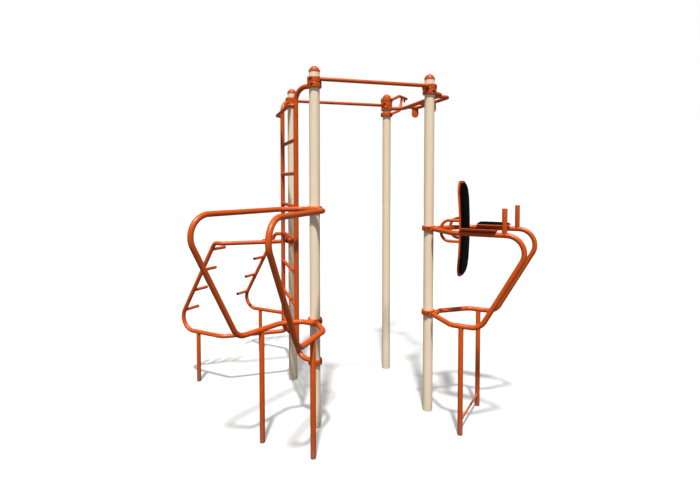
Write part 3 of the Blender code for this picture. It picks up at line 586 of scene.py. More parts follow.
def ease_steps(ease):
    """Setbacks and shrinkages that round an end off."""
    steps = []
    for step in range(EASE_STEPS + 1):
        angle = math.pi / 2 * step / EASE_STEPS
        steps.append((ease * (1 - math.cos(angle)), ease * (1 - math.sin(angle))))
    return steps


def sweep(work, points, radius, ease=END_EASE):
    """A closed round tube along the points, with both ends eased."""
    first = (points[1] - points[0]).normalized()
    last = (points[-1] - points[-2]).normalized()
    stations = [(points[0] + first * back, first, radius - shrink) for back, shrink in ease_steps(ease)]
    for before, point, after in zip(points, points[1:], points[2:]):
        tangent = ((point - before).normalized() + (after - point).normalized()).normalized()
        stations.append((point, tangent, radius))
    ends = [(points[-1] - last * back, last, radius - shrink) for back, shrink in ease_steps(ease)]
    stations += ends[::-1]
    side = square_to(first)[0]
    rings = []
    for centre, tangent, size in stations:
        side = (side - side.dot(tangent) * tangent).normalized()
        rings.append(ring(work, centre, side, tangent.cross(side), size, TUBE_SIDES))
    skin(work, rings)


def rod(work, start, end, radius, ease=END_EASE):
    sweep(work, [start, (start + end) / 2, end], radius, ease)


def bent_tube(work, corners, bend, radius, place=Matrix.Identity(4), ease=END_EASE):
    """A round tube through the corners, each bent to the same radius."""
    path = rounded_path(corners, [bend] * (len(corners) - 2))
    sweep(work, [place @ point for point in path], radius, ease)


def spaced(points, closed):
    """The same line with even spacing, for a weld bead's ripples."""
    line = points + [points[0]] if closed else points
    lengths = [(after - before).length for before, after in zip(line, line[1:])]
    count = max(LEAST_BEAD_POINTS, round(sum(lengths) / BEAD_POINT_SPACING))
    marks = [sum(lengths) * index / count for index in range(count if closed else count + 1)]
    result = []
    walked = 0
    segment = 0
    for mark in marks:
        while segment < len(lengths) - 1 and walked + lengths[segment] < mark:
            walked += lengths[segment]
            segment += 1
        share = (mark - walked) / lengths[segment] if lengths[segment] else 0
        result.append(line[segment].lerp(line[segment + 1], min(share, 1)))
    return result, sum(lengths)


def bead(work, points, centre, closed, radius=BEAD_RADIUS):
    """A rippled weld bead along a line of points that lies around a centre."""
    line, length = spaced(points, closed)
    ripples = max(LEAST_RIPPLES, round(length / BEAD_PITCH))
    rings = []
    for index, point in enumerate(line):
        before = line[index - 1] if closed or index else point
        after = line[(index + 1) % len(line)] if closed or index < len(line) - 1 else point
        tangent = (after - before).normalized()
        side = point - centre
        side = (side - side.dot(tangent) * tangent).normalized()
        wave = math.sin(math.pi * ripples * index / len(line))
        size = radius * (1 + BEAD_RIPPLE_SHARE * (abs(wave) - 0.5))
        if not closed:
            from_end = min(index, len(line) - 1 - index) / len(line)
            size *= math.sin(math.pi * min(0.5, BEAD_TAIL_START + BEAD_TAIL_SLOPE * from_end))
        rings.append(ring(work, point, side, tangent.cross(side), size, BEAD_SIDES))
    skin(work, rings, closed)


def junction(start, along, radius, main_radius, main_axis, main_point):
    """Where a round branch that leaves along a direction comes out of a round main tube."""
    side, other = square_to(along)
    flat_along = along - along.dot(main_axis) * main_axis
    square = flat_along.dot(flat_along)
    points = []
    for index in range(ROUND_STEPS):
        angle = math.tau * index / ROUND_STEPS
        point = start + radius * (math.cos(angle) * side + math.sin(angle) * other)
        offset = point - main_point
        offset -= offset.dot(main_axis) * main_axis
        half = offset.dot(flat_along)
        rest = half * half - square * (offset.dot(offset) - main_radius * main_radius)
        if rest > 0:
            points.append(point + along * ((math.sqrt(rest) - half) / square))
    return points


def weld(work, start, along, radius, main_radius, main_axis=UP, main_point=None):
    """The bead where a branch leaves a main tube, which stands upright through its start by itself."""
    along = along.normalized()
    points = junction(start, along, radius, main_radius, main_axis, main_point or start)
    bead(work, points, start + along * main_radius / 2, len(points) == ROUND_STEPS)


def finished(work, name):
    """The mesh of some finished work, its faces turned outwards."""
    bmesh.ops.recalc_face_normals(work, faces=work.faces)
    mesh = bpy.data.meshes.new(name)
    work.to_mesh(mesh)
    work.free()
    return mesh


def stamp(work, mesh, place):
    """Adds a copy of a mesh at a place."""
    before = len(work.verts)
    work.from_mesh(mesh)
    work.verts.ensure_lookup_table()
    bmesh.ops.transform(work, matrix=place, verts=work.verts[before:])


def plate_data(name, outline, thickness, ease):
    """A flat plate with this outline, centred on the XY plane, its edges rounded."""
    work = bmesh.new()
    levels = [[work.verts.new((x, y, side * thickness / 2)) for x, y in outline] for side in (-1, 1)]
    skin(work, levels)
    rims = [edge for edge in work.edges if edge.verts[0].co.z == edge.verts[1].co.z]
    uprights = [edge for edge in work.edges if edge not in rims and edge.calc_face_angle(0) > SHARP_ANGLE]
    bmesh.ops.bevel(work, geom=rims + uprights, offset=ease, segments=EASE_STEPS, profile=0.5, affect="EDGES")
    return finished(work, name)


def lathe(work, profile, place, steps=ROUND_STEPS, closed=False):
    """Turns radii and heights about Z; both ends are capped unless the profile closes on itself."""
    rings = [ring(work, UP * height, EAST, NORTH, radius, steps) for radius, height in profile]
    skin(work, rings, closed)
    made = [vertex for circle in rings for vertex in circle]
    bmesh.ops.transform(work, matrix=place, verts=made)


def arc(radius, first, last, steps, centre=(0, 0)):
    points = []
    for step in range(steps + 1):
        angle = first + (last - first) * step / steps
        points.append((centre[0] + radius * math.cos(angle), centre[1] + radius * math.sin(angle)))
    return points


def rounded_outline(half_x, half_y, corner):
    points = []
    for quarter, (side_x, side_y) in enumerate(QUARTERS):
        centre = (side_x * (half_x - corner), side_y * (half_y - corner))
        points += arc(corner, quarter * math.pi / 2, (quarter + 1) * math.pi / 2, CORNER_STEPS, centre)
    return points


def new_piece(name, work, finish, nodes=()):
    show(name, finished(work, name), finish, nodes)


def show(name, mesh, finish, nodes):
    piece = bpy.data.objects.new(name, mesh)
    bpy.context.scene.collection.objects.link(piece)
    mesh.materials.clear()
    mesh.materials.append(finish)
    mesh.shade_smooth()
    mesh.set_sharp_from_angle(angle=SHARP_ANGLE)
    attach(piece, "root")
    if nodes:
        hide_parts(*nodes)
    return piece


def new_orange(node, ending, work):
    """An orange piece, named after the node it replaces and an ending."""
    new_piece(node + ending, work, ORANGE, (node,))


# Collars
def half_collar_outline():
    face = COLLAR_SPLIT / 2
    inner = math.acos(face / COLLAR_BORE)
    outer = math.acos(EAR_THICKNESS / COLLAR_RADIUS)
    points = [(face, -EAR_REACH), (EAR_THICKNESS, -EAR_REACH)]
    points += arc(COLLAR_RADIUS, -outer, outer, COLLAR_ARC_STEPS)
    points += [(EAR_THICKNESS, EAR_REACH), (face, EAR_REACH)]
    return points + arc(COLLAR_BORE, inner, -inner, COLLAR_ARC_STEPS)


def half_collar_data():
    """A half collar with rounded outer edges and a pocket for a bolt at each ear."""
    work = bmesh.new()
    heights = (-COLLAR_HEIGHT / 2, COLLAR_HEIGHT / 2)
    skin(work, [[work.verts.new((x, y, z)) for x, y in half_collar_outline()] for z in heights])
    bmesh.ops.recalc_face_normals(work, faces=work.faces)
    outside = []
    for edge in work.edges:
        first, second = (vertex.co for vertex in edge.verts)
        level = first.z == second.z
        if level and min(first.xy.length, second.xy.length) > COLLAR_RADIUS - COLLAR_EASE:
            outside.append(edge)
    bmesh.ops.bevel(
        work, geom=outside, offset=COLLAR_ROUNDING, segments=COLLAR_ROUND_STEPS, profile=0.5, affect="EDGES"
    )
    mesh = finished(work, "half_collar")
    outline = rounded_outline(POCKET_LENGTH / 2, POCKET_HALF_HEIGHT, POCKET_HALF_HEIGHT - COLLAR_EASE)
    depth = EAR_REACH - POCKET_FLOOR + COLLAR_EASE
    cutter = plate_data("pocket", outline, depth, COLLAR_EASE / 2)
    for side in (-1, 1):
        middle = Vector((POCKET_START + POCKET_LENGTH / 2, side * (POCKET_FLOOR + depth / 2), 0))
        mesh = cut(mesh, cutter, Matrix.Translation(middle) @ UPRIGHT)
    return mesh


def cut(mesh, cutter, place):
    """The mesh that is left when a cutter at a place is taken away from it."""
    body = bpy.data.objects.new("body", mesh)
    tool = bpy.data.objects.new("tool", cutter)
    tool.matrix_world = place
    for item in (body, tool):
        bpy.context.scene.collection.objects.link(item)
    step = body.modifiers.new("cut", "BOOLEAN")
    step.operation = "DIFFERENCE"
    step.solver = "EXACT"
    step.object = tool
    result = applied(body)
    for item in (body, tool):
        bpy.data.objects.remove(item, do_unlink=True)
    return result


def applied(piece):
    """Gives a piece the mesh that its modifiers make, drops the modifiers and returns the mesh."""
    bpy.context.view_layer.update()
    graph = bpy.context.evaluated_depsgraph_get()
    mesh = bpy.data.meshes.new_from_object(piece.evaluated_get(graph))
    piece.modifiers.clear()
    piece.data = mesh
    return mesh


HALF_COLLAR = half_collar_data()


def hex_prism(work, radius, low, high):
    """A six-sided head whose top corners are turned off."""
    profile = [(radius, low), (radius, high - BOLT_EASE), (radius - 2 * BOLT_EASE, high)]
    lathe(work, profile, Matrix.Identity(4), HEX_SIDES)


def disc(work, radius, low, high):
    """A turned disc with an eased upper edge."""
    profile = [(radius - BOLT_EASE / 2, low), (radius, low + BOLT_EASE / 2)]
    for back, shrink in reversed(ease_steps(BOLT_EASE)):
        profile.append((radius - shrink, high - back))
    lathe(work, profile, Matrix.Identity(4), DISC_SIDES)


def bolt_data(name, head):
    """A washer with a bolt head on it, or with a nut and the end of the bolt."""
    work = bmesh.new()
    disc(work, WASHER_RADIUS, -WELD_BITE, WASHER_THICKNESS)
    if head:
        hex_prism(work, BOLT_HEAD_RADIUS, 0, WASHER_THICKNESS + BOLT_HEAD_HEIGHT)
    else:
        hex_prism(work, BOLT_HEAD_RADIUS, 0, WASHER_THICKNESS + NUT_HEIGHT)
        disc(work, BOLT_SHANK_RADIUS, 0, WASHER_THICKNESS + NUT_HEIGHT + STUD_END)
    return finished(work, name)


BOLT = bolt_data("collar_bolt", True)
NUT = bolt_data("collar_nut", False)


def station_place(post, angle, height=0.0):
    return Matrix.Translation(POSTS[post] + UP * height) @ Matrix.Rotation(angle, 4, "Z")


def add_collar(work, use, post, angle):
    """Adds a collar's welded half; its loose half and its bolts become pieces of their own."""
    node = "collar_" + post + "_" + use
    height = collar_height(post + "_" + use)
    stamp(work, HALF_COLLAR, station_place(post, angle, height))
    loose = bmesh.new()
    stamp(loose, HALF_COLLAR, station_place(post, angle + math.pi, height))
    new_orange(node, "_half", loose)
    bolts = bmesh.new()
    for turn, mesh in ((math.pi, BOLT), (0, NUT)):
        for side in (-1, 1):
            seat = Matrix.Translation((POCKET_START, side * BOLT_OFFSET, 0))
            stamp(bolts, mesh, station_place(post, angle + turn, height) @ seat @ TO_SIDE)
    new_piece(node + "_bolts", bolts, STEEL)
    return height


def add_crossing_welds(work, post, height, angle):
    """Short welds above and below where a loop's tube crosses in front of its collar."""
    place = station_place(post, angle, height)
    lift = COLLAR_HEIGHT / 2 - CROSSING_BEAD_INSET
    for side in (-1, 1):
        line = []
        for step in range(CROSSING_BEAD_STEPS + 1):
            across = CROSSING_BEAD_HALF * (2 * step / CROSSING_BEAD_STEPS - 1)
            sag = COLLAR_RADIUS - math.sqrt(COLLAR_RADIUS ** 2 - across ** 2)
            out = COLLAR_RADIUS + BEAD_RADIUS - sag * CROSSING_BEAD_BEND
            line.append(place @ Vector((out, across, side * lift)))
        bead(work, line, place.translation, False, CROSSING_BEAD_RADIUS)


# Posts and caps
def make_posts():
    """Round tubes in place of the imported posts, whose sides are coarser."""
    bore = POST_RADIUS - POST_WALL
    profile = [(POST_RADIUS, 0), (POST_RADIUS, POST_TOP), (bore, POST_TOP), (bore, 0)]
    for name, place in POSTS.items():
        work = bmesh.new()
        lathe(work, profile, Matrix.Translation(place), POST_SIDES, closed=True)
        new_piece("post_" + name + "_tube", work, CREAM, ("post_" + name,))


def cap_profile():
    dome = []
    for step in range(1, DOME_STEPS + 1):
        angle = math.pi / 2 * (1 - step / DOME_STEPS)
        radius = CAP_DOME_RADIUS * math.cos(angle) ** CAP_DOME_TAPER
        dome.append((radius, CAP_RIM_HEIGHT + CAP_DOME_HEIGHT * math.sin(angle)))
    return [
        (FIT_GAP, CAP_RIM_HEIGHT + CAP_DOME_HEIGHT),
        *dome,
        (CAP_RADIUS - CAP_LIP, CAP_RIM_HEIGHT - CAP_RIM_SLOPE + CAP_LIP / 2),
        (CAP_RADIUS, CAP_RIM_HEIGHT - CAP_RIM_SLOPE - CAP_LIP),
        (CAP_RADIUS, CAP_LIP - CAP_SKIRT_DEPTH),
        (CAP_RADIUS - CAP_LIP, -CAP_SKIRT_DEPTH),
        (POST_RADIUS + FIT_GAP, -CAP_SKIRT_DEPTH),
        (POST_RADIUS + FIT_GAP, FIT_GAP),
        (FIT_GAP, FIT_GAP),
    ]


def make_caps():
    for name, place in POSTS.items():
        work = bmesh.new()
        lathe(work, cap_profile(), Matrix.Translation(place + UP * POST_TOP))
        new_orange("cap_" + name, "_dome", work)


# Pull-up bars
def make_pull_up_bar(row, outwards):
    left = POSTS[row + "_left"]
    right = POSTS[row + "_right"]
    turn = outwards * BAR_COLLAR_TURN
    work = bmesh.new()
    height = add_collar(work, "pull_up", row + "_left", turn)
    add_collar(work, "pull_up", row + "_right", math.pi - turn)
    inset = math.sqrt((COLLAR_BORE + WELD_BITE) ** 2 - (BAR_OFFSET - BAR_RADIUS) ** 2)
    lane = Vector((0, outwards * BAR_OFFSET, height))
    start = left + lane + EAST * inset
    end = right + lane - EAST * inset
    rod(work, start, end, BAR_RADIUS)
    for post, along in ((left, EAST), (right, -EAST)):
        weld(work, post + lane, along, BAR_RADIUS, COLLAR_RADIUS, UP, post)
    new_orange(row + "_pull_up_bar", "_tube", work)


# Ladder
def stile_place(row):
    post = POSTS[row + "_left"]
    inward = STILE_INSET if row == "front" else -STILE_INSET
    return post + Vector((-STILE_OFFSET, inward, 0))


def make_stile(row):
    post = row + "_left"
    foot = stile_place(row)
    away = (foot - POSTS[post]).normalized()
    angle = math.atan2(away.y, away.x)
    work = bmesh.new()
    high = UP * add_collar(work, "ladder_top", post, angle)
    low = UP * add_collar(work, "ladder_foot", post, angle)
    near = POSTS[post] + away * TUBE_START
    corners = [near + high, foot + high, foot + low, near + low]
    bent_tube(work, corners, STILE_BEND_RADIUS, FRAME_RADIUS)
    for lift in (high, low):
        weld(work, POSTS[post] + lift, away, FRAME_RADIUS, COLLAR_RADIUS)
    new_orange("ladder_" + row + "_stile", "_tube", work)
    return low.z, high.z


def make_ladder():
    foot, top = make_stile("front")
    make_stile("rear")
    front = stile_place("front")
    rear = stile_place("rear")
    along = (rear - front).normalized()
    lowest = foot + LADDER_FOOTROOM
    bowed = top - LADDER_HEADROOM
    pitch = (bowed - lowest) / RUNG_COUNT
    inside = along * FRAME_RADIUS / 2
    for number in range(RUNG_COUNT):
        lift = UP * (lowest + number * pitch)
        work = bmesh.new()
        rod(work, front + inside + lift, rear - inside + lift, BAR_RADIUS)
        weld(work, front + lift, along, BAR_RADIUS, FRAME_RADIUS)
        weld(work, rear + lift, -along, BAR_RADIUS, FRAME_RADIUS)
        new_orange("ladder_rung_" + str(number + 1), "_tube", work)
    lift = UP * bowed
    reach = lift - EAST * FRAME_RADIUS / 2
    out = lift - EAST * BOW_DEPTH
    corners = [front + reach, front + out, rear + out, rear + reach]
    work = bmesh.new()
    bent_tube(work, corners, BOW_BEND_RADIUS, BAR_RADIUS)
    for stile in (front, rear):
        weld(work, stile + lift, -EAST, BAR_RADIUS, FRAME_RADIUS)
    new_orange("ladder_bowed_rung", "_tube", work)


# Stations on loops
def rail_point(corner, splay, distance, height, side=1):
    x = corner + distance * math.cos(splay)
    y = corner + distance * math.sin(splay)
    return Vector((x, side * y, height))


def add_loop(work, post, angle, height, half, radii):
    """A tube round a post, alike on both sides, whose bends are welded to the collar they cross."""
    half = half + [Vector((LOOP_CROSSING, LOOP_CROSSING, height))]
    radii = radii + [LOOP_BEND_RADIUS]
    place = station_place(post, angle)
    path = rounded_path(mirrored(half), radii + radii[::-1])
    sweep(work, [place @ point for point in path], FRAME_RADIUS, BUTT_EASE)
    add_crossing_welds(work, post, height, angle)


def make_lower_loop(use, post, angle, corner, splay, split):
    work = bmesh.new()
    height = add_collar(work, use + "_lower", post, angle)
    half = [rail_point(corner, splay, split - FIT_GAP, height), rail_point(corner, splay, 0, height)]
    add_loop(work, post, angle, height, half, [LOOP_CORNER_RADIUS])
    new_orange(use + "_lower_tube", "_pipe", work)


def add_hand_rails(work, use, post, angle, corner, splay, reach, radius, slope):
    """An upper tube that turns down and back; returns both collar heights and the place of its end."""
    high = add_collar(work, use + "_upper", post, angle)
    low = collar_height(post + "_" + use + "_lower")
    turn_back = reach - (high - low) / math.tan(slope)
    split = turn_back - LOWER_BEND_RADIUS * math.tan(slope / 2) - BUTT_SETBACK
    half = [
        rail_point(corner, splay, split, low),
        rail_point(corner, splay, turn_back, low),
        rail_point(corner, splay, reach, high),
        rail_point(corner, splay, 0, high),
    ]
    add_loop(work, post, angle, high, half, [LOWER_BEND_RADIUS, radius, LOOP_CORNER_RADIUS])
    return high, low, split


def add_leg(work, place, corner, splay, distance, height, side):
    head = rail_point(corner, splay, distance, height, side)
    foot = Vector((head.x, head.y, 0))
    rod(work, place @ foot, place @ (head - UP * FRAME_RADIUS / 2), FRAME_RADIUS)
    onward = rail_point(corner, splay, distance + FRAME_RADIUS, height, side)
    axis = (place @ onward - place @ head).normalized()
    weld(work, place @ head, -UP, FRAME_RADIUS - FIT_GAP, FRAME_RADIUS, axis)


def make_dip_station():
    post = "front_left"
    place = station_place(post, DIP_HEADING)
    where = (post, DIP_HEADING, DIP_CORNER, DIP_SPLAY)
    work = bmesh.new()
    low, split = add_hand_rails(work, "dip", *where, DIP_REACH, DIP_BEND_RADIUS, DIP_SLOPE)[1:]
    new_orange("dip_upper_tube", "_pipe", work)
    make_lower_loop("dip", *where, split)
    for word, side in SIDES:
        work = bmesh.new()
        add_leg(work, place, DIP_CORNER, DIP_SPLAY, DIP_LEG_DISTANCE, low, side)
        new_orange("dip_leg_" + word, "_tube", work)


def make_leg_raise_tubes(post, place):
    where = (post, LEG_RAISE_HEADING, LEG_RAISE_CORNER, 0)
    bend = (LEG_RAISE_REACH, LEG_RAISE_BEND_RADIUS, LEG_RAISE_SLOPE)
    work = bmesh.new()
    high, low, split = add_hand_rails(work, "leg_raise", *where, *bend)
    outward = (place @ EAST - place.translation).normalized()
    for side in (-1, 1):
        foot = place @ rail_point(LEG_RAISE_CORNER, 0, HAND_POST_DISTANCE, high, side)
        rod(work, foot, foot + UP * HAND_POST_LENGTH, HAND_POST_RADIUS)
        weld(work, foot, UP, HAND_POST_RADIUS, FRAME_RADIUS, outward)
    new_orange("leg_raise_upper_tube", "_pipe", work)
    make_lower_loop("leg_raise", *where, split)
    return high, low


def make_leg_raise_legs(place, low):
    work = bmesh.new()
    steps = []
    for side in (-1, 1):
        add_leg(work, place, LEG_RAISE_CORNER, 0, LEG_RAISE_LEG_DISTANCE, low, side)
        steps.append(place @ rail_point(LEG_RAISE_CORNER, 0, LEG_RAISE_LEG_DISTANCE, STEP_HEIGHT, side))
    rod(work, steps[0], steps[1], STEP_RADIUS)
    along = (steps[1] - steps[0]).normalized()
    weld(work, steps[0], along, STEP_RADIUS, FRAME_RADIUS)
    weld(work, steps[1], -along, STEP_RADIUS, FRAME_RADIUS)
    new_orange("leg_raise_legs", "_and_step", work)


def bow(mesh, stretches):
    """Cuts a mesh that lies along Y into even stretches, and bends its ends down."""
    work = bmesh.new()
    work.from_mesh(mesh)
    half = BACK_HEIGHT / 2
    for mark in range(1, stretches):
        place = (0, BACK_HEIGHT * (mark / stretches - 0.5), 0)
        everything = work.verts[:] + work.edges[:] + work.faces[:]
        bmesh.ops.bisect_plane(work, geom=everything, plane_co=place, plane_no=(0, 1, 0))
    bmesh.ops.triangulate(work, faces=[face for face in work.faces if len(face.verts) > 4])
    for vertex in work.verts:
        vertex.co.z -= BACK_BOW * (vertex.co.y / half) ** 2
    work.to_mesh(mesh)
    work.free()


def make_back_plate(place, height):
    """The upright plate, the two hoops that carry it and the screws of its pad."""
    half = BACK_WIDTH / 2
    outline = rounded_outline(half, BACK_HEIGHT / 2, BACK_CORNER)
    middle = Matrix.Translation((BACK_DISTANCE + BACK_PLATE_THICKNESS / 2, 0, height + BACK_RISE))
    plate = plate_data("back_plate", outline, BACK_PLATE_THICKNESS, PLATE_EASE)
    bow(plate, BACK_BOW_STEPS)
    work = bmesh.new()
    stamp(work, plate, place @ middle @ FACING_OUT)
    root = BACK_DISTANCE + WELD_BITE
    hoop_places = [(root, 1), (HOOP_BACK, 1), (HOOP_BACK, -1), (root, -1)]
    for side in (-1, 1):
        corners = []
        for x, lift in hoop_places:
            corners.append(Vector((x, side * HOOP_OFFSET, height + lift * HOOP_HALF_HEIGHT)))
        bent_tube(work, corners, HOOP_BEND_RADIUS, HOOP_RADIUS, place)
        past_edge = 0 if side > 0 else math.pi
        around = arc(HOOP_RADIUS, past_edge, past_edge + math.tau, ROUND_STEPS)[:-1]
        for lift in (-1, 1):
            centre = Vector((BACK_DISTANCE, side * HOOP_OFFSET, height + lift * HOOP_HALF_HEIGHT))
            circle = [centre + Vector((0, y, z)) for y, z in around]
            line = [place @ point for point in circle if abs(point.y) < half - PLATE_EASE]
            bead(work, line, place @ centre, False)
    new_orange("back_plate", "_with_hoops", work)
    work = bmesh.new()
    for across in (-1, 1):
        for lift in (-1, 1):
            back = BACK_DISTANCE - BACK_BOW * (2 * SCREW_RISE / BACK_HEIGHT) ** 2
            seat = Vector((back, across * SCREW_SPREAD, height + BACK_RISE + lift * SCREW_RISE))
            head = place @ Matrix.Translation(seat) @ Matrix.Rotation(-math.pi / 2, 4, "Y")
            lathe(work, dome_profile(PLATE_SCREW_RADIUS, PLATE_SCREW_HEIGHT), head, SCREW_SIDES)
    new_piece("back_plate_screws", work, STEEL)


def dome_profile(radius, height):
    points = []
    for step in range(SCREW_DOME_STEPS + 1):
        angle = math.pi / 2 * (1 - step / SCREW_DOME_STEPS)
        points.append((max(radius * math.cos(angle), FIT_GAP), height * math.sin(angle)))
    return points + [(radius, -height / 2)]


# Cushions
def stacked(half_x, half_y, corner, levels):
    """Rounded rectangles joined one above the other; each level has its inset and its height."""
    work = bmesh.new()
    rings = []
    for inset, height in levels:
        outline = rounded_outline(half_x - inset, half_y - inset, max(corner - inset, PAD_SIDE_BULGE / 2))
        rings.append([work.verts.new((x, y, height)) for x, y in outline])
    skin(work, rings)
    return work


def pad_form(name, half_x, half_y, corner, thickness):
    """A pad before it is filled: flat below, sides drawn in at the foot, crowned on top."""
    edge = thickness * PAD_EDGE_HEIGHT_SHARE
    levels = []
    for step in range(PAD_SIDE_STEPS + 1):
        swing = math.pi * step / PAD_SIDE_STEPS
        levels.append((PAD_SIDE_BULGE * (1 - math.sin(swing)), edge * (1 - math.cos(swing)) / 2))
    for share in PAD_CROWN_RING_SHARES:
        inset = PAD_SIDE_BULGE + share * (half_y - PAD_SIDE_BULGE)
        levels.append((inset, edge + (thickness - edge) * math.sin(share * math.pi / 2)))
    work = stacked(half_x, half_y, corner, levels)
    bmesh.ops.triangulate(work, faces=[face for face in work.faces if len(face.verts) > 4])
    return finished(work, name)


def add_smoothing(piece, steps):
    smooth = piece.modifiers.new("smooth", "SMOOTH")
    smooth.factor = PAD_SMOOTHING_SHARE
    smooth.iterations = steps


def fill_pad(piece, base):
    """Blows the pad up like cloth around foam, its base held flat and its swelling capped."""
    remesh = piece.modifiers.new("remesh", "REMESH")
    remesh.mode = "VOXEL"
    remesh.voxel_size = PAD_VOXEL
    add_smoothing(piece, PAD_SMOOTHING_STEPS)
    mesh = applied(piece)
    floor_points = [vertex.index for vertex in mesh.vertices if vertex.co.z < base + SMALLEST_THICKNESS * 2]
    held = piece.vertex_groups.new(name="held")
    held.add(floor_points, 1.0, "REPLACE")
    rest = [vertex.co.copy() for vertex in mesh.vertices]
    cloth = piece.modifiers.new("fill", "CLOTH")
    cloth.settings.use_pressure = True
    cloth.settings.uniform_pressure_force = PAD_PRESSURE
    cloth.settings.effector_weights.gravity = 0
    cloth.settings.vertex_group_mass = "held"
    cloth.point_cache.frame_start = 1
    cloth.point_cache.frame_end = PAD_FRAMES
    for step in range(1, PAD_FRAMES + 1):
        bpy.context.scene.frame_set(step)
    mesh = applied(piece)
    for vertex, start in zip(mesh.vertices, rest):
        move = vertex.co - start
        if move.length > PAD_SWELL_LIMIT:
            vertex.co = start + move.normalized() * PAD_SWELL_LIMIT
        vertex.co.z = max(vertex.co.z, base)
    bpy.context.scene.frame_set(1)
    add_smoothing(piece, PAD_SMOOTHING_STEPS // 2)
    finer = piece.modifiers.new("finer", "SUBSURF")
    finer.levels = 1
    finer.render_levels = 1
    applied(piece)


def make_cushion(name, half_x, half_y, corner, thickness, place, node, bent=False):
    """A pad on its plate; it starts a little small, so that filling brings it to size."""
    base = FIT_GAP
    inset = PAD_START_INSET
    form = pad_form(name, half_x - inset, half_y - inset, corner - inset, thickness - PAD_START_DROP)
    form.transform(Matrix.Translation(UP * base))
    cushion = show(name, form, PAD_SKIN, (node,))
    fill_pad(cushion, base)
    mesh = cushion.data
    if bent:
        mesh.transform(ALONG_Y)
        bow(mesh, 1)
    mesh.transform(place)
    mesh.update()
    mesh.materials.clear()
    mesh.materials.append(PAD_SKIN)
    mesh.shade_smooth()


def make_back_pad(place, height):
    front = Matrix.Translation((BACK_DISTANCE + BACK_PLATE_THICKNESS, 0, height + BACK_RISE))
    long_half = BACK_HEIGHT / 2 - BACK_PAD_MARGIN
    short_half = BACK_WIDTH / 2 - BACK_PAD_MARGIN
    turned = place @ front @ FACING_OUT
    corner = BACK_CORNER - BACK_PAD_MARGIN
    make_cushion("back_cushion", long_half, short_half, corner, BACK_PAD_THICKNESS, turned, "back_pad", True)


def tray_data(half_x, half_y):
    """A shallow tray on the XY plane: its foot flares out to an eased rim."""
    levels = [(ARM_TRAY_FOOT_INSET, 0), (ARM_TRAY_FOOT_INSET - PLATE_EASE / 2, PLATE_EASE / 4)]
    levels += [(PLATE_EASE / 2, ARM_TRAY_FLARE - PLATE_EASE / 2), (0, ARM_TRAY_FLARE)]
    levels += [(inset, ARM_TRAY_THICKNESS - below) for inset, below in ease_steps(PLATE_EASE)]
    return finished(stacked(half_x, half_y, ARM_TRAY_CORNER, levels), "arm_tray")


def make_arm_rest(word, side, place, height):
    centre = rail_point(LEG_RAISE_CORNER, 0, ARM_TRAY_DISTANCE, height, side)
    lean = place @ Matrix.Translation(centre) @ Matrix.Rotation(side * ARM_TILT, 4, "X")
    half_x = ARM_TRAY_LENGTH / 2
    half_y = ARM_TRAY_WIDTH / 2
    tray = tray_data(half_x, half_y)
    seat = FRAME_RADIUS + FIT_GAP
    work = bmesh.new()
    stamp(work, tray, lean @ Matrix.Translation(UP * seat))
    new_orange("arm_tray_" + word, "_plate", work)
    top = lean @ Matrix.Translation(UP * (seat + ARM_TRAY_THICKNESS))
    half_x -= ARM_PAD_MARGIN
    half_y -= ARM_PAD_MARGIN
    corner = ARM_TRAY_CORNER - ARM_PAD_MARGIN
    make_cushion("arm_cushion_" + word, half_x, half_y, corner, ARM_PAD_THICKNESS, top, "arm_pad_" + word)


def make_leg_raise_station():
    post = "front_right"
    place = station_place(post, LEG_RAISE_HEADING)
    high, low = make_leg_raise_tubes(post, place)
    make_leg_raise_legs(place, low)
    make_back_plate(place, high)
    make_back_pad(place, high)
    for word, side in SIDES:
        make_arm_rest(word, side, place, high)


# Peg frame
def make_peg_frame():
    post = "rear_left"
    place = station_place(post, PEG_HEADING)
    work = bmesh.new()
    high = add_collar(work, "peg_upper", post, PEG_HEADING)
    low = collar_height(post + "_peg_lower")
    fall = high - low
    pitch = (fall - PEG_TOP_DROP - PEG_FOOT_RISE) / (PEG_COUNT - 1)
    foot_distance = PEG_SHOULDER + fall / math.tan(PEG_SLOPE)
    split = foot_distance - PEG_BEND_RADIUS / math.tan(PEG_SLOPE / 2) - BUTT_SETBACK
    run = PEG_SHOULDER_RADIUS * math.tan(PEG_SLOPE / 2) + BUTT_SETBACK
    shoulder = rail_point(PEG_CORNER, 0, PEG_SHOULDER, high)
    slope = (rail_point(PEG_CORNER, 0, foot_distance, low) - shoulder).normalized()
    half = [shoulder + slope * run, shoulder, rail_point(PEG_CORNER, 0, 0, high)]
    add_loop(work, post, PEG_HEADING, high, half, [PEG_SHOULDER_RADIUS] * 2)
    new_orange("peg_upper_tube", "_pipe", work)
    make_lower_loop("peg", post, PEG_HEADING, PEG_CORNER, 0, split)
    for word, side in SIDES:
        make_peg_rail(word, side, place, high, low, foot_distance, split, run, pitch)
        work = bmesh.new()
        add_leg(work, place, PEG_CORNER, 0, split - PEG_LEG_INSET, low, side)
        new_orange("peg_leg_" + word, "_tube", work)


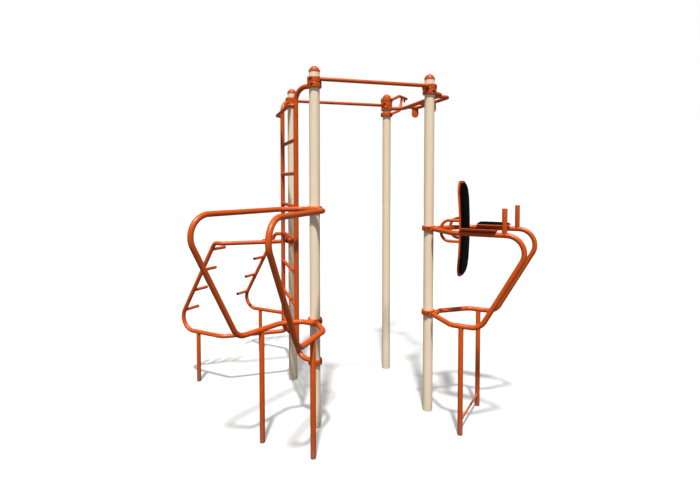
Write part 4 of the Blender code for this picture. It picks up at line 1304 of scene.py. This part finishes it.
def make_peg_rail(word, side, place, high, low, foot_distance, split, run, pitch):
    top = rail_point(PEG_CORNER, 0, PEG_SHOULDER, high, side)
    foot = rail_point(PEG_CORNER, 0, foot_distance, low, side)
    end = rail_point(PEG_CORNER, 0, split, low, side)
    slope = (foot - top).normalized()
    work = bmesh.new()
    corners = [top + slope * (run + FIT_GAP), foot, end]
    bent_tube(work, corners, PEG_BEND_RADIUS, FRAME_RADIUS, place, BUTT_EASE)
    inward = (place @ Vector((0, -side, 0)) - place.translation).normalized()
    axis = (place @ foot - place @ top).normalized()
    plugs = bmesh.new()
    for number in range(PEG_COUNT):
        drop = PEG_TOP_DROP + number * pitch
        root = place @ (top + slope * (drop / math.sin(PEG_SLOPE)))
        tip = root + inward * PEG_LENGTH
        seat = tip - inward * PEG_PLUG_LENGTH
        rod(work, root, seat, BAR_RADIUS, BUTT_EASE)
        rod(plugs, seat, tip, BAR_RADIUS, PEG_PLUG_EASE)
        weld(work, root, inward, BAR_RADIUS, FRAME_RADIUS, axis)
    new_orange("peg_rail_" + word, "_pipe", work)
    new_piece("peg_plugs_" + word, plugs, PLUG)


# Side beam
def hang_plate(work, plate, place, width, thickness, drop):
    """Hangs an upright plate from the middle of a tube, with a weld on each of its faces."""
    stamp(work, plate, place @ UPRIGHT)
    for side in (-1, 1):
        away = side * (thickness + BEAD_RADIUS) / 2
        ends = [place @ Vector((end * width / 2, away, -drop)) for end in (-1, 1)]
        bead(work, ends, place.translation, False)


def make_side_beam():
    front = POSTS["front_right"]
    rear = POSTS["rear_right"]
    work = bmesh.new()
    height = add_collar(work, "side_beam", "front_right", BEAM_ANGLE)
    add_collar(work, "side_beam", "rear_right", -BEAM_ANGLE)
    lift = UP * height
    x = front.x + BEAM_OFFSET
    slant = BEAM_OFFSET * math.tan(BEAM_ANGLE)
    out_front = Vector((math.cos(BEAM_ANGLE), math.sin(BEAM_ANGLE), 0))
    out_rear = Vector((out_front.x, -out_front.y, 0))
    corners = [
        front + lift + out_front * TUBE_START,
        Vector((x, front.y + slant, height)),
        Vector((x, rear.y - slant, height)),
        rear + lift + out_rear * TUBE_START,
    ]
    bent_tube(work, corners, BEAM_BEND_RADIUS, BEAM_RADIUS)
    weld(work, front + lift, out_front, BEAM_RADIUS, COLLAR_RADIUS)
    weld(work, rear + lift, out_rear, BEAM_RADIUS, COLLAR_RADIUS)
    half = TAB_WIDTH / 2
    outline = [(half, 0), (-half, 0)] + arc(half, -math.pi, 0, TAB_ARC_STEPS, (0, -TAB_DROP))
    tab = plate_data("side_tab", outline, TAB_THICKNESS, PLATE_EASE)
    for first in (front.y + GRIP_START, rear.y - GRIP_START - GRIP_WIDTH):
        last = first + GRIP_WIDTH
        far = x + GRIP_DEPTH
        grip = [Vector((x, first, height)), Vector((far, first, height))]
        grip += [Vector((far, last, height)), Vector((x, last, height))]
        bent_tube(work, grip, GRIP_BEND_RADIUS, BAR_RADIUS)
        for y in (first, last):
            root = Vector((x, y, height))
            weld(work, root, EAST, BAR_RADIUS, BEAM_RADIUS, NORTH)
        middle = Matrix.Translation((x + TAB_OFFSET, last, height))
        hang_plate(work, tab, middle, TAB_WIDTH, TAB_THICKNESS, BAR_RADIUS - BEAD_RADIUS / 2)
    new_orange("side_grip_beam", "_pipe", work)


# Bag hanger
def make_bag_hanger():
    post = "rear_right"
    place = station_place(post, HANGER_HEADING)
    work = bmesh.new()
    arm_low = add_collar(work, "bag_arm", post, HANGER_HEADING)
    brace_low = add_collar(work, "bag_brace", post, HANGER_HEADING)
    arm_high = arm_low + HANGER_RISE
    arm = [
        Vector((TUBE_START, 0, arm_low)),
        Vector((HANGER_KNEE, 0, arm_high)),
        Vector((HANGER_REACH, 0, arm_high)),
    ]
    bent_tube(work, arm, HANGER_BEND_RADIUS, BAR_RADIUS, place, HANGER_END_EASE)
    brace = [
        Vector((TUBE_START, 0, brace_low)),
        Vector((BRACE_KNEE, 0, brace_low + BRACE_RISE)),
        Vector((BRACE_TOP, 0, arm_high)),
    ]
    bent_tube(work, brace, BRACE_BEND_RADIUS, BRACE_RADIUS, place)
    centre = place.translation
    outward = (place @ EAST - centre).normalized()
    for start, onward, radius in ((arm[0], arm[1], BAR_RADIUS), (brace[0], brace[1], BRACE_RADIUS)):
        along = (place @ onward - place @ start).normalized()
        weld(work, place @ start, along, radius, COLLAR_RADIUS, UP, centre)
    top = place @ brace[2]
    down = (place @ brace[1] - top).normalized()
    weld(work, top, down, BRACE_RADIUS, BAR_RADIUS, outward)
    middle = place @ Matrix.Translation((LUG_POSITION, 0, arm_high))
    hang_plate(work, lug_data(), middle, LUG_WIDTH, LUG_THICKNESS, BAR_RADIUS)
    new_orange("bag_hanger", "_pipe", work)


def lug_data():
    """The lug with its round eye: square above the middle of the eye, round below it."""
    half = LUG_WIDTH / 2
    drop = LUG_DROP - half
    edge = []
    for across, up in arc(1, 0, math.tau, LUG_STEPS)[:-1]:
        longest = max(up, abs(across))
        edge.append((half * across / longest, drop * up / longest) if up > 0 else (half * across, half * up))
    eye = arc(LUG_HOLE_RADIUS, 0, math.tau, LUG_STEPS)[:-1]
    work = bmesh.new()
    rings = []
    for points, side in ((edge, -1), (edge, 1), (eye, 1), (eye, -1)):
        rings.append([work.verts.new((x, y - drop, side * LUG_THICKNESS / 2)) for x, y in points])
    skin(work, rings, True)
    return finished(work, "bag_lug")


# Small screws near the feet of the posts
def make_post_screws():
    work = bmesh.new()
    profile = dome_profile(POST_SCREW_RADIUS, POST_SCREW_DOME)
    for post in POST_NAMES:
        middle = station_place(post, POST_SCREW_TURN, POST_SCREW_HEIGHT)
        lathe(work, profile, middle @ Matrix.Translation((POST_RADIUS, 0, 0)) @ TO_SIDE, POST_SCREW_SIDES)
    new_piece("post_foot_screws", work, STEEL)


# Stage, light and camera
def make_stage():
    mesh = bpy.data.meshes.new("floor")
    corners = [(x * FLOOR_HALF, y * FLOOR_HALF, -FIT_GAP) for x, y in QUARTERS]
    mesh.from_pydata(corners, [], [(0, 1, 2, 3)])
    floor = bpy.data.objects.new("floor", mesh)
    bpy.context.scene.collection.objects.link(floor)
    mesh.materials.append(floor_finish())


def make_world():
    world = bpy.data.worlds.new("studio")
    bpy.context.scene.world = world
    world.use_nodes = True
    tree = world.node_tree
    light = tree.nodes["Background"]
    white = tree.nodes.new("ShaderNodeBackground")
    for background in (light, white):
        set_sockets(background, {"Color": WHITE})
    rays = tree.nodes.new("ShaderNodeLightPath")
    strength = spread(tree, rays.outputs["Is Glossy Ray"], WORLD_STRENGTH, WORLD_SHEEN, 0, 1)
    tree.links.new(strength, light.inputs["Strength"])
    seen = tree.nodes.new("ShaderNodeMixShader")
    either = add_node(tree, "ShaderNodeMath", operation="MAXIMUM")
    tree.links.new(rays.outputs["Is Camera Ray"], either.inputs[0])
    tree.links.new(rays.outputs["Is Transmission Ray"], either.inputs[1])
    tree.links.new(either.outputs["Value"], seen.inputs["Fac"])
    tree.links.new(light.outputs["Background"], seen.inputs[1])
    tree.links.new(white.outputs["Background"], seen.inputs[2])
    tree.links.new(seen.outputs["Shader"], tree.nodes["World Output"].inputs["Surface"])


def aim(item, heading, dip):
    """Turns a lamp or a camera to a heading and down by a dip; returns where it looks."""
    level = math.cos(dip)
    direction = Vector((math.sin(heading) * level, math.cos(heading) * level, -math.sin(dip)))
    item.rotation_mode = "QUATERNION"
    item.rotation_quaternion = direction.to_track_quat("-Z", "Y")
    bpy.context.scene.collection.objects.link(item)
    return direction


def make_light():
    """One soft lamp far away, high behind the camera."""
    lamp = bpy.data.lights.new("key", "SUN")
    lamp.energy = SUN_STRENGTH
    lamp.angle = SUN_WIDTH
    lamp.color = SUN_COLOUR
    item = bpy.data.objects.new("key", lamp)
    item.location = -aim(item, SUN_HEADING, SUN_HEIGHT) * FLOOR_HALF


def make_camera():
    data = bpy.data.cameras.new("camera")
    data.lens = CAMERA_LENS_MM
    data.sensor_width = CAMERA_SENSOR_MM
    data.shift_x, data.shift_y = CAMERA_SHIFT
    camera = bpy.data.objects.new("camera", data)
    camera.location = POSTS["front_left"] + CAMERA_PLACE
    aim(camera, CAMERA_HEADING, CAMERA_DIP)
    bpy.context.scene.camera = camera


make_posts()
make_caps()
make_pull_up_bar("front", -1)
make_pull_up_bar("rear", 1)
make_ladder()
make_dip_station()
make_leg_raise_station()
make_peg_frame()
make_side_beam()
make_bag_hanger()
make_post_screws()
make_stage()
make_world()
make_light()
make_camera()
bpy.context.scene.view_settings.view_transform = "Standard"
